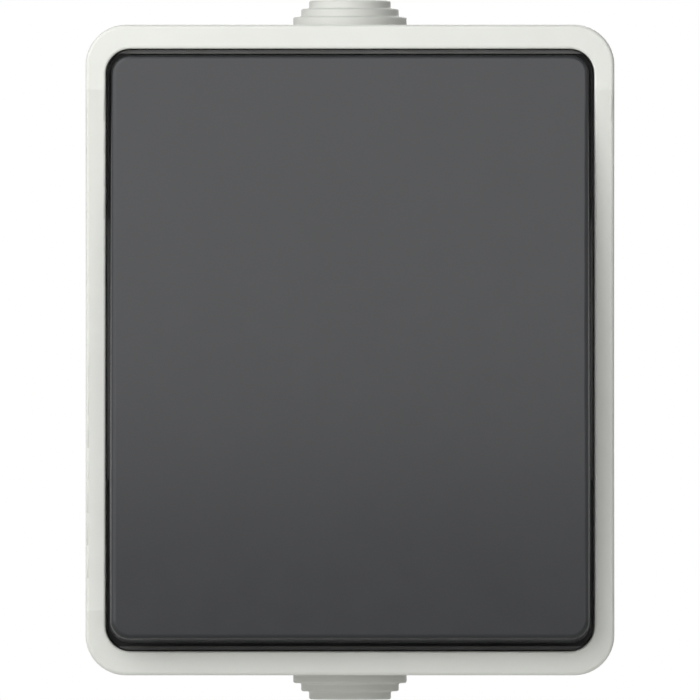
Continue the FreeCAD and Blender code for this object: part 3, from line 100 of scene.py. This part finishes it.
def moulded(name, light, dark, ior, roughness, grain_mm, depth_mm, spread=0.04, shine=0.5):
    """Two close colours, a soft gloss that varies by the spread, and a grain of a given depth."""
    material = bpy.data.materials.new(name)
    material.use_nodes = True
    tree = material.node_tree
    shader = tree.nodes["Principled BSDF"]
    shader.inputs["IOR"].default_value = ior
    shader.inputs["Specular IOR Level"].default_value = shine
    place = add(tree, "ShaderNodeTexCoord").outputs["Object"]
    cloud = add(tree, "ShaderNodeTexNoise", {
        "Vector": place, "Scale": per_metre(CLOUD_MM), "Detail": 3.0})
    tone = add(tree, "ShaderNodeValToRGB", {"Fac": cloud.outputs["Fac"]})
    tone.color_ramp.elements[0].position = DARK_UP_TO
    tone.color_ramp.elements[0].color = linear(dark)
    tone.color_ramp.elements[1].position = LIGHT_FROM
    tone.color_ramp.elements[1].color = linear(light)
    tree.links.new(tone.outputs["Color"], shader.inputs["Base Color"])
    patch = add(tree, "ShaderNodeTexNoise", {
        "Vector": place, "Scale": per_metre(PATCH_MM), "Detail": 2.0})
    gloss = add(tree, "ShaderNodeMapRange", {
        "Value": patch.outputs["Fac"], "From Min": NOISE_LOW, "From Max": NOISE_HIGH,
        "To Min": roughness - spread, "To Max": roughness + spread})
    tree.links.new(gloss.outputs["Result"], shader.inputs["Roughness"])
    grain = add(tree, "ShaderNodeTexNoise", {
        "Vector": place, "Scale": per_metre(grain_mm), "Detail": 1.0})
    bump = add(tree, "ShaderNodeBump", {
        "Height": grain.outputs["Fac"], "Distance": depth_mm * MM, "Strength": 1.0})
    tree.links.new(bump.outputs["Normal"], shader.inputs["Normal"])
    return material


print("colour clouds", CLOUD_MM, "mm, gloss patches", PATCH_MM, "mm")

# %% [markdown]
# The switch has eight moulded materials. Each line gives two close colours, the IOR, the
# roughness, and the size and depth of the grain in millimetres. A real grain of 0.1 mm can't be
# seen in a picture of the whole switch, so it is drawn at 0.3 to 0.6 mm. All started from typical
# values and were then matched to measured tones.

# %% Plastics and rubbers
# ASA from a spark eroded mould, coloured all through: an even, dull light grey.
housing_asa = moulded(
    "light_grey_asa_spark_eroded", "#CCCDC8", "#CACBC6", 1.53, 0.5, 0.4, 0.006)
# The same plastic in dark grey from a smoother mould: satin, it mirrors the lamps faintly.
rocker_asa = moulded(
    "dark_grey_asa_satin", "#2A2B2D", "#292A2C", 1.53, 0.25, 0.4, 0.002, 0.02, 0.25)
# Polyamide with glass fibres close under its skin: duller and cloudier than the rocker.
carrier_polyamide = moulded(
    "anthracite_glass_filled_polyamide", "#575756", "#4F4F4E", 1.55, 0.55, 0.5, 0.01)
# Thermoplastic elastomer: the housing's grey, but matt and rubbery.
grommet_tpe = moulded(
    "light_grey_tpe_grommet", "#CBCCC7", "#C8C9C4", 1.5, 0.6, 0.3, 0.004)
# EPDM rubber: black and matt, it swallows the light inside the box.
seal_epdm = moulded(
    "black_epdm_seal", "#1F1F20", "#191A1A", 1.52, 0.65, 0.3, 0.006)
# Polyamide without pigment: off-white with a slight gloss.
insert_polyamide = moulded(
    "off_white_polyamide", "#DFDED6", "#D9D8CF", 1.53, 0.45, 0.5, 0.006)
# Acetal slides well without grease and looks waxy.
toggle_pom = moulded(
    "pale_grey_acetal", "#C9CAC4", "#C4C5BF", 1.48, 0.35, 0.6, 0.003)
# Orange polycarbonate: glossy and bright, so that the levers are found in a dark box.
release_pc = moulded(
    "orange_polycarbonate", "#E07A28", "#DA7422", 1.585, 0.3, 0.6, 0.003)
print("box and rocker:", housing_asa.name, "and", rocker_asa.name)

# %% [markdown]
# The metal pieces sit inside. A metal's colour is its reflection, so Metallic is 1, the IOR stays
# as Blender has it, and the pattern works on the roughness and the bump alone. A Mapping node
# squeezes the noise along one axis, which draws it out into lines.

# %% A metal
LINE_DEPTH_MM = 0.002


def metal(name, colour, roughness, spread, line_mm, along=(1.0, 1.0, 1.0)):
    """A metal whose gloss varies in lines or patches of a given size."""
    material = bpy.data.materials.new(name)
    material.use_nodes = True
    tree = material.node_tree
    shader = tree.nodes["Principled BSDF"]
    shader.inputs["Metallic"].default_value = 1.0
    shader.inputs["Base Color"].default_value = linear(colour)
    place = add(tree, "ShaderNodeTexCoord").outputs["Object"]
    drawn = add(tree, "ShaderNodeMapping", {"Vector": place, "Scale": along}).outputs["Vector"]
    lines = add(tree, "ShaderNodeTexNoise", {
        "Vector": drawn, "Scale": per_metre(line_mm), "Detail": 2.0})
    gloss = add(tree, "ShaderNodeMapRange", {
        "Value": lines.outputs["Fac"], "From Min": NOISE_LOW, "From Max": NOISE_HIGH,
        "To Min": roughness - spread, "To Max": roughness + spread})
    tree.links.new(gloss.outputs["Result"], shader.inputs["Roughness"])
    bump = add(tree, "ShaderNodeBump", {
        "Height": lines.outputs["Fac"], "Distance": LINE_DEPTH_MM * MM, "Strength": 1.0})
    tree.links.new(bump.outputs["Normal"], shader.inputs["Normal"])
    return material


# Zinc plating, passivated unevenly in its bath: bright, with faint cloudy patches.
zinc_steel = metal("zinc_plated_steel", "#C3C4C2", 0.34, 0.08, 0.8)
# Steel drawn through a die: fine lines along the strip or wire.
spring_steel = metal("drawn_spring_steel", "#A9AAAB", 0.26, 0.06, 0.2, (1.0, 1.0, 0.06))
# Brass strip, rolled and stamped: warm, with lines from the rolls.
brass = metal("stamped_brass_strip", "#C8A764", 0.3, 0.07, 0.25, (1.0, 1.0, 0.08))
# Silver alloy on the contacts: pale and smooth.
silver = metal("silver_contact_alloy", "#DCDCD9", 0.3, 0.05, 0.3)
print("metals:", ", ".join(finish.name for finish in (zinc_steel, spring_steel, brass, silver)))

# %% [markdown]
# Each CAD node's object keeps its place and its mesh, and only its material slot is filled.
# One table says which finish each node has on the real switch.

# %% Dress the nodes
corners = ("common", "upper", "lower", "loop")
dress = {
    housing_asa: ["base_box", "cover_frame"],
    rocker_asa: ["rocker"],
    carrier_polyamide: ["rocker_carrier"],
    grommet_tpe: ["grommet_top", "grommet_bottom"],
    seal_epdm: ["housing_gasket", "sealing_membrane"],
    insert_polyamide: ["insert_socket", "insert_cover", "earth_holder"],
    toggle_pom: ["toggle", "plunger"],
    release_pc: [f"release_lever_{corner}" for corner in corners],
    zinc_steel: ["cover_screws", "insert_screws"],
    spring_steel: ["toggle_spring"] + [f"clamp_spring_{corner}" for corner in corners],
    brass: ["contact_lever", "earth_bar"] + [f"terminal_{corner}" for corner in corners],
    silver: ["contact_tips", "fixed_contacts"],
}
for material, names in dress.items():
    for name in names:
        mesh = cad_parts[name].data
        mesh.materials.clear()
        mesh.materials.append(material)
undressed = set(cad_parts) - {name for names in dress.values() for name in names}
print("nodes with no finish:", sorted(undressed))

# %% [markdown]
# Geometry Nodes make the pieces that follow a rule. A tree is built with its sizes as named
# inputs, runs once on a source curve and leaves a plain mesh, because the export knows nothing of
# nodes. It ends by turning instances into real geometry and giving it its material.

# %% Build and run a tree
def new_tree(name, inputs):
    """An empty tree with a geometry input, these named inputs and a geometry output."""
    tree = bpy.data.node_groups.new(name, "GeometryNodeTree")
    face = tree.interface
    face.new_socket("Source", in_out="INPUT", socket_type="NodeSocketGeometry")
    for label, kind in inputs:
        face.new_socket(label, in_out="INPUT", socket_type="NodeSocket" + kind)
    face.new_socket("Solid", in_out="OUTPUT", socket_type="NodeSocketGeometry")
    return tree, add(tree, "NodeGroupInput").outputs


def finish_tree(tree, geometry, finish):
    """Ends a tree: real geometry instead of instances, with its material."""
    real = add(tree, "GeometryNodeRealizeInstances", {"Geometry": geometry})
    dressed = add(tree, "GeometryNodeSetMaterial", {
        "Geometry": real.outputs["Geometry"], "Material": finish})
    add(tree, "NodeGroupOutput", {"Solid": dressed.outputs["Geometry"]})
    return tree


def run_tree(name, tree, points, values):
    """Runs a tree on an open poly curve through the points and returns a plain mesh object."""
    curve = bpy.data.curves.new(name, "CURVE")
    curve.dimensions = "3D"
    spline = curve.splines.new("POLY")
    spline.points.add(len(points) - 1)
    for spot, co in zip(spline.points, points):
        spot.co = (*co, 1)
    source = bpy.data.objects.new(name + "_source", curve)
    bpy.context.scene.collection.objects.link(source)
    modifier = source.modifiers.new("nodes", "NODES")
    modifier.node_group = tree
    for socket in tree.interface.items_tree:
        if socket.name in values:
            modifier[socket.identifier] = values[socket.name]
    graph = bpy.context.evaluated_depsgraph_get()
    mesh = bpy.data.meshes.new_from_object(source.evaluated_get(graph))
    source.modifiers.clear()
    bpy.data.objects.remove(source)
    piece = bpy.data.objects.new(name, mesh)
    bpy.context.scene.collection.objects.link(piece)
    return piece


# %% [markdown]
# A finished piece has its place in its mesh, while its object stays at the origin. The next
# helper moves the mesh there, welds its seams, makes its faces point outwards, and lets the piece
# stand for its CAD node on that node's body. It prints how far the piece leaves the node's box,
# because the dressed model has to stay within the CAD model.

# %% Settle a piece
WELD_MM, SHARP_DEGREES = 0.001, 35


def settle(piece, matrix, node, body):
    """Moves the mesh to its place, turns its faces outwards, and replaces a CAD node with it."""
    piece.data.transform(matrix)
    shape = bmesh.new()
    shape.from_mesh(piece.data)
    bmesh.ops.remove_doubles(shape, verts=shape.verts, dist=WELD_MM * MM)
    bmesh.ops.recalc_face_normals(shape, faces=shape.faces)
    shape.to_mesh(piece.data)
    triangles = sum(len(face.verts) - 2 for face in shape.faces)
    open_edges = sum(not edge.is_manifold for edge in shape.edges)
    shape.free()
    piece.data.shade_smooth()
    piece.data.set_sharp_from_angle(angle=math.radians(SHARP_DEGREES))
    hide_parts(node)
    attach(piece, body)
    low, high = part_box(node)
    past = max(
        abs(v.co[i] - min(max(v.co[i], low[i]), high[i]))
        for v in piece.data.vertices for i in range(3))
    print(piece.name, triangles, "triangles,", open_edges, "open edges,",
          round(past / MM, 3), "mm out of its box")


# %% [markdown]
# Turned shapes are one half profile swept round an axis. A screw modifier could do it, but a
# small tree keeps the sizes as named inputs and rounds the edges with Fillet Curve before Curve
# to Mesh sweeps the profile round a circle. The circle needs a radius of its own, so the profile
# is drawn from there instead of from the axis.

# %% The turning tree
FILLET_STEPS = 3
CIRCLE_RADIUS = 1.0


def turning_tree():
    """Rounds the corners of a half profile and turns it round the Z axis."""
    tree, given = new_tree("turned_profile", [
        ("Edge Radius", "Float"), ("Circle Radius", "Float"), ("Sides", "Int"),
        ("Finish", "Material")])
    rounded = add(tree, "GeometryNodeFilletCurve", {
        "Curve": given["Source"], "Radius": given["Edge Radius"], "Count": FILLET_STEPS,
        "Limit Radius": True}, mode="POLY")
    circle = add(tree, "GeometryNodeCurvePrimitiveCircle", {
        "Resolution": given["Sides"], "Radius": given["Circle Radius"]})
    swept = add(tree, "GeometryNodeCurveToMesh", {
        "Curve": circle.outputs["Curve"], "Profile Curve": rounded.outputs["Curve"]})
    return finish_tree(tree, swept.outputs["Mesh"], given["Finish"])


def half_profile(points):
    """A half profile of (radius, height) pairs in millimetres, as the turning tree wants it."""
    return [((r - CIRCLE_RADIUS) * MM, -h * MM, 0) for r, h in points]


turning = turning_tree()
print("turning tree:", len(turning.nodes), "nodes")

# %% [markdown]
# A grommet lets the cable in and keeps water out. The fitter cuts off the stepped rings with a
# knife to suit the cable, which is why there are several, and a thin skin closes it until then.
# Below the rings a neck sits in the wall's hole, with a lip behind the wall. The same profile
# serves both ends of the box, so the lower one is turned over. Its sizes are in millimetres, and
# heights count outwards from the face of the wall.

# %% The two grommets
TIP, RING, BASE, STEP, WALL = 5.15, 1.0, 1.35, 1.03, 2.6
SKIN, UNDERCUT, LIP, LIP_THICKNESS = 0.9, 0.9, 1.6, 1.4
GROMMET_EDGE, GROMMET_SIDES = 0.25, 96
BORE, FOOT = TIP - SKIN, TIP + 2 * RING
NECK, TOP = FOOT - UNDERCUT, BASE + 2 * STEP
grommet_profile = half_profile([
    (0.0, TOP), (TIP, TOP), (TIP, BASE + STEP), (TIP + RING, BASE + STEP), (TIP + RING, BASE),
    (FOOT, BASE), (FOOT, 0.0), (NECK, 0.0), (NECK, -WALL), (NECK + LIP, -WALL),
    (NECK + LIP, -WALL - LIP_THICKNESS), (BORE + RING, -WALL - LIP_THICKNESS), (BORE, 0.0),
    (BORE, BASE + STEP), (0.0, BASE + STEP)])
for side, degrees in (("top", 0), ("bottom", 180)):
    node = f"grommet_{side}"
    low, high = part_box(node)
    tip_end = high.z if side == "top" else low.z
    foot_end = tip_end - math.copysign(TOP * MM, tip_end)
    piece = run_tree(f"rubber_grommet_{side}", turning, grommet_profile, {
        "Edge Radius": GROMMET_EDGE * MM, "Circle Radius": CIRCLE_RADIUS * MM,
        "Sides": GROMMET_SIDES, "Finish": grommet_tpe})
    spot = Matrix.Translation((0, (low.y + high.y) / 2, foot_end))
    turn = Matrix.Rotation(math.radians(degrees), 4, "X")
    settle(piece, spot @ turn, node, "housing")

# %% [markdown]
# The small spring in the toggle is coiled from round wire, with its end turns closed so that it
# stands square in the plunger's cup. The tree lifts each point of a flat spiral: the end turns
# lie wire on wire, and the ones between share the rest of the height.

# %% The coil tree
CLOSED_SHARE, STEPS_A_TURN, WIRE_SIDES = 0.16, 24, 10


def coil_tree():
    """A compression spring along the Z axis, with closed end turns."""
    tree, given = new_tree("closed_coil", [
        ("Coil Radius", "Float"), ("Wire Radius", "Float"), ("Height", "Float"),
        ("Turns", "Float"), ("Finish", "Material")])

    def maths(kind, first, second):
        return add(tree, "ShaderNodeMath", {0: first, 1: second}, operation=kind).outputs[0]

    spiral = add(tree, "GeometryNodeCurveSpiral", {
        "Resolution": STEPS_A_TURN, "Rotations": given["Turns"],
        "Start Radius": given["Coil Radius"], "End Radius": given["Coil Radius"], "Height": 0.0})
    along = add(tree, "GeometryNodeSplineParameter").outputs["Factor"]
    both_ends = maths("MULTIPLY", given["Wire Radius"], 4.0)
    middle = maths("SUBTRACT", given["Height"], both_ends)
    spread = add(tree, "ShaderNodeMapRange", {
        "Value": along, "From Min": CLOSED_SHARE, "From Max": 1 - CLOSED_SHARE,
        "To Min": 0.0, "To Max": middle})
    height = maths("ADD", maths("MULTIPLY", along, both_ends), spread.outputs["Result"])
    offset = add(tree, "ShaderNodeCombineXYZ", {"Z": height}).outputs["Vector"]
    lifted = add(tree, "GeometryNodeSetPosition", {
        "Geometry": spiral.outputs["Curve"], "Offset": offset})
    wire = add(tree, "GeometryNodeCurvePrimitiveCircle", {
        "Resolution": WIRE_SIDES, "Radius": given["Wire Radius"]})
    swept = add(tree, "GeometryNodeCurveToMesh", {
        "Curve": lifted.outputs["Geometry"], "Profile Curve": wire.outputs["Curve"],
        "Fill Caps": True})
    return finish_tree(tree, swept.outputs["Mesh"], given["Finish"])


# %% [markdown]
# The spring stands in the toggle's tube, so it leans with the toggle: 4 degrees at rest, about
# the toggle's axis. Its foot rests on the floor of the plunger's cup. All depths are counted in
# millimetres from the wall.

# %% The toggle's spring
TOGGLE_AXIS, LEAN_DEGREES, SPRING_FOOT = 34.0, -4.0, 25.9
COIL_RADIUS, WIRE_RADIUS, SPRING_HEIGHT, SPRING_TURNS = 1.32, 0.25, 9.59, 7.0
# The source curve isn't used by this tree, but a modifier needs one to run on.
spring = run_tree("toggle_coil", coil_tree(), [(0, 0, 0), (0, 0, MM)], {
    "Coil Radius": COIL_RADIUS * MM, "Wire Radius": WIRE_RADIUS * MM,
    "Height": SPRING_HEIGHT * MM, "Turns": SPRING_TURNS, "Finish": spring_steel})
axis = Vector((0, -TOGGLE_AXIS * MM, 0))
tilt = Matrix.Rotation(math.radians(LEAN_DEGREES), 4, "X")
lean = Matrix.Translation(axis) @ tilt @ Matrix.Translation(-axis)
to_front = Matrix.Rotation(math.radians(90), 4, "X")
foot = Matrix.Translation((0, -SPRING_FOOT * MM, 0)) @ to_front
settle(spring, lean @ foot, "toggle_spring", "toggle")

# %% [markdown]
# The cover and the insert are held by pairs of thread-forming screws with a pan head and a cross
# recess. A tree turns one screw, cuts the cross into its head, winds the thread round its shank,
# and puts a copy on each of two places. A mesh boolean cuts the cross, because a recess with flat
# sides doesn't come from turning.

# %% The screw tree
SCREW_EDGE, SCREW_SIDES = 0.15, 32
RIDGE_SHARE, RIDGE_SIDES, THREAD_STEPS = 0.3, 3, 20


def screw_tree():
    """A pair of screws along the Z axis with their heads up."""
    tree, given = new_tree("cross_recess_screws", [
        ("Circle Radius", "Float"), ("Shank Radius", "Float"), ("Thread Length", "Float"),
        ("Pitch", "Float"), ("Head Top", "Float"), ("Cross Length", "Float"),
        ("Cross Width", "Float"), ("Cross Depth", "Float"), ("First Place", "Vector"),
        ("Step To Second", "Vector"), ("Finish", "Material")])

    def maths(kind, first, second):
        return add(tree, "ShaderNodeMath", {0: first, 1: second}, operation=kind).outputs[0]

    def moved_up(geometry, height):
        upward = add(tree, "ShaderNodeCombineXYZ", {"Z": height}).outputs["Vector"]
        return add(tree, "GeometryNodeTransform", {
            "Geometry": geometry, "Translation": upward}).outputs["Geometry"]

    body = add(tree, "GeometryNodeGroup", node_tree=turning)
    for label in ("Source", "Circle Radius", "Finish"):
        tree.links.new(given[label], body.inputs[label])
    body.inputs["Edge Radius"].default_value = SCREW_EDGE * MM
    body.inputs["Sides"].default_value = SCREW_SIDES
    closed = add(tree, "GeometryNodeMergeByDistance", {
        "Geometry": body.outputs["Solid"], "Distance": WELD_MM * MM})

    cutters = add(tree, "GeometryNodeJoinGeometry")
    twice_deep = maths("MULTIPLY", given["Cross Depth"], 2.0)
    for across, high in (("Cross Length", "Cross Width"), ("Cross Width", "Cross Length")):
        size = add(tree, "ShaderNodeCombineXYZ", {
            "X": given[across], "Y": given[high], "Z": twice_deep})
        block = add(tree, "GeometryNodeMeshCube", {"Size": size.outputs["Vector"]})
        tree.links.new(block.outputs["Mesh"], cutters.inputs["Geometry"])
    cross = moved_up(cutters.outputs["Geometry"], given["Head Top"])
    cut = add(tree, "GeometryNodeMeshBoolean", {
        "Mesh 1": closed.outputs["Geometry"], "Mesh 2": cross, "Self Intersection": True},
        operation="DIFFERENCE", solver="EXACT")

    spiral = add(tree, "GeometryNodeCurveSpiral", {
        "Resolution": THREAD_STEPS,
        "Rotations": maths("DIVIDE", given["Thread Length"], given["Pitch"]),
        "Start Radius": given["Shank Radius"], "End Radius": given["Shank Radius"],
        "Height": given["Thread Length"]})
    ridge = add(tree, "GeometryNodeCurvePrimitiveCircle", {
        "Resolution": RIDGE_SIDES, "Radius": maths("MULTIPLY", given["Pitch"], RIDGE_SHARE)})
    thread = add(tree, "GeometryNodeCurveToMesh", {
        "Curve": spiral.outputs["Curve"], "Profile Curve": ridge.outputs["Curve"],
        "Fill Caps": True})
    below = maths("MULTIPLY", given["Thread Length"], -1.0)
    whole = add(tree, "GeometryNodeJoinGeometry", {"Geometry": cut.outputs["Mesh"]})
    tree.links.new(moved_up(thread.outputs["Mesh"], below), whole.inputs["Geometry"])

    places = add(tree, "GeometryNodeMeshLine", {
        "Count": 2, "Start Location": given["First Place"], "Offset": given["Step To Second"]})
    pair = add(tree, "GeometryNodeInstanceOnPoints", {
        "Points": places.outputs["Mesh"], "Instance": whole.outputs["Geometry"]})
    return finish_tree(tree, pair.outputs["Instances"], given["Finish"])


screws = screw_tree()
print("screw tree:", len(screws.nodes), "nodes")

# %% [markdown]
# Both pairs have the same head and thread. Their lengths and their two places, in opposite
# corners, are read from the CAD nodes' boxes, so that the copies land where the solids are.

# %% The two pairs of screws
HEAD_RADIUS, HEAD_HEIGHT, HEAD_SLOPE, HEAD_EDGE = 2.7, 1.7, 0.7, 0.9
SHANK_RADIUS, PITCH, POINT_RADIUS, POINT_LENGTH = 1.25, 0.8, 0.3, 1.2
CROSS_LENGTH, CROSS_WIDTH, CROSS_DEPTH, PLAIN_LENGTH = 3.0, 0.8, 1.0, 1.4
for node in ("cover_screws", "insert_screws"):
    low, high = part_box(node)
    length = (high.y - low.y) / MM - HEAD_HEIGHT
    first = Vector((low.x + HEAD_RADIUS * MM, high.z - HEAD_RADIUS * MM, 0))
    second = Vector((high.x - HEAD_RADIUS * MM, low.z + HEAD_RADIUS * MM, 0))
    profile = half_profile([
        (0.0, HEAD_HEIGHT), (HEAD_RADIUS - HEAD_SLOPE, HEAD_HEIGHT), (HEAD_RADIUS, HEAD_EDGE),
        (HEAD_RADIUS, 0.0), (SHANK_RADIUS, 0.0), (SHANK_RADIUS, POINT_LENGTH - length),
        (POINT_RADIUS, -length), (0.0, -length)])
    pair = run_tree("pan_head_" + node, screws, profile, {
        "Circle Radius": CIRCLE_RADIUS * MM, "Shank Radius": SHANK_RADIUS * MM,
        "Thread Length": (length - PLAIN_LENGTH) * MM, "Pitch": PITCH * MM,
        "Head Top": HEAD_HEIGHT * MM, "Cross Length": CROSS_LENGTH * MM,
        "Cross Width": CROSS_WIDTH * MM, "Cross Depth": CROSS_DEPTH * MM,
        "First Place": first, "Step To Second": second - first, "Finish": zinc_steel})
    under_head = Matrix.Translation((0, low.y + HEAD_HEIGHT * MM, 0))
    settle(pair, under_head @ to_front, node, "housing")

# %% [markdown]
# The photo is a straight front view from far away, so a very long lens stands on the axis of the
# box, level with its middle. The picture is 87.36 mm wide where the rim of the housing is, and
# the distance follows from that.

# %% Camera
LENS_MM, SENSOR_MM = 1500.0, 36.0
PICTURE_WIDTH, RIM_DEPTH = 87.36 * MM, 47 * MM
FARTHEST_SEEN = 100
distance = PICTURE_WIDTH * LENS_MM / SENSOR_MM
lens = bpy.data.cameras.new("camera")
lens.lens = LENS_MM
lens.sensor_width = SENSOR_MM
lens.clip_end = FARTHEST_SEEN
camera = bpy.data.objects.new("camera", lens)
camera.location = (0, -(RIM_DEPTH + distance), 0)
camera.rotation_euler = (math.radians(90), 0, 0)
bpy.context.scene.collection.objects.link(camera)
bpy.context.scene.camera = camera
print("camera", round(distance, 2), "m in front of the rim")

# %% [markdown]
# Three softboxes close to the small object give the photo's light: most of it from the left, some
# from above, so that the top of the box is brighter than its bottom and the standing edge of the
# rocker throws a soft shadow to the right. A fourth, in front and above the middle, is what the
# satin rocker mirrors: its lower edge is why the rocker's face grows darker towards the bottom.
# The one behind brightens the outer edges a little, and the one straight at the back only lights
# views from there. Together they are at a plain level, at which a colour renders about as it is
# written.

# %% Lights
MIDDLE, ORIGIN, IN_FRONT = (0, -0.04, 0), (0.0, 0.0, 0.0), (0.0, 0.0, 0.11)
LAMPS = {
    # name: place, width, height, watts, target
    "high_left": ((-0.45, -0.3, 0.25), 0.5, 0.5, 1.36, MIDDLE),
    "low_left": ((-0.3, -0.5, 0.1), 0.5, 0.5, 0.99, MIDDLE),
    "top_left": ((-0.12, -0.22, 0.26), 0.16, 0.16, 0.255, MIDDLE),
    "front": ((0.0, -0.3, 0.11), 0.3, 0.2, 0.445, IN_FRONT),
    "behind": ((0.3, 0.6, 0.4), 0.4, 0.4, 1.6, MIDDLE),
    "back": ((0.05, 0.8, 0.1), 0.4, 0.4, 4.0, ORIGIN),
}


def softbox(name, place, width, height, watts, target):
    """A rectangular lamp that looks at the target and isn't seen itself."""
    lamp = bpy.data.lights.new(name, "AREA")
    lamp.shape = "RECTANGLE"
    lamp.size, lamp.size_y = width, height
    lamp.energy = watts
    body = bpy.data.objects.new(name, lamp)
    bpy.context.scene.collection.objects.link(body)
    aim = (Vector(target) - Vector(place)).to_track_quat("-Z", "Y").to_matrix().to_4x4()
    body.matrix_world = Matrix.Translation(place) @ aim
    body.visible_camera = False


for name, lamp in LAMPS.items():
    softbox(name, *lamp)
print("lamps:", ", ".join(LAMPS))

# %% [markdown]
# The world is plain white for the camera and in mirrored views, and nearly dark as a light, so
# that the softboxes alone shade the box. Light Path tells the two apart. A strength of 1 is
# white, so the background never lights the object more than white paper would.

# %% World
WORLD_LIGHT = 0.02
world = bpy.data.worlds.new("studio")
bpy.context.scene.world = world
world.use_nodes = True
sky = world.node_tree
sky.nodes.clear()
ray = add(sky, "ShaderNodeLightPath").outputs
mirrored = add(sky, "ShaderNodeMath", {
    0: ray["Is Glossy Ray"], 1: ray["Is Transmission Ray"]}, operation="MAXIMUM")
seen = add(sky, "ShaderNodeMath", {
    0: ray["Is Camera Ray"], 1: mirrored.outputs["Value"]}, operation="MAXIMUM")
light, white = (
    add(sky, "ShaderNodeBackground", {"Color": (1, 1, 1, 1), "Strength": strength})
    for strength in (WORLD_LIGHT, 1.0))
both = add(sky, "ShaderNodeMixShader", {
    0: seen.outputs["Value"], 1: light.outputs["Background"], 2: white.outputs["Background"]})
add(sky, "ShaderNodeOutputWorld", {"Surface": both.outputs["Shader"]})
print("world nodes:", len(sky.nodes))

# %% [markdown]
# The floor is a sheet of pale matt paper below the switch, too low to show in the photo's view.
# It catches the shadow in all other views. The view transform is Standard, which leaves a colour
# as the light gives it.

# %% Floor
FLOOR, HALF = -0.06, 1.2
floor_mesh = bpy.data.meshes.new("floor")
floor_corners = [(-HALF, -HALF), (HALF, -HALF), (HALF, HALF), (-HALF, HALF)]
floor_mesh.from_pydata([(x, y, FLOOR) for x, y in floor_corners], [], [(0, 1, 2, 3)])
floor_mesh.materials.append(moulded("matt_paper", "#F2F2F0", "#F1F1EF", 1.45, 0.8, 1.0, 0.004))
floor = bpy.data.objects.new("floor", floor_mesh)
bpy.context.scene.collection.objects.link(floor)
bpy.context.scene.view_settings.view_transform = "Standard"
print("floor at", FLOOR, "m")
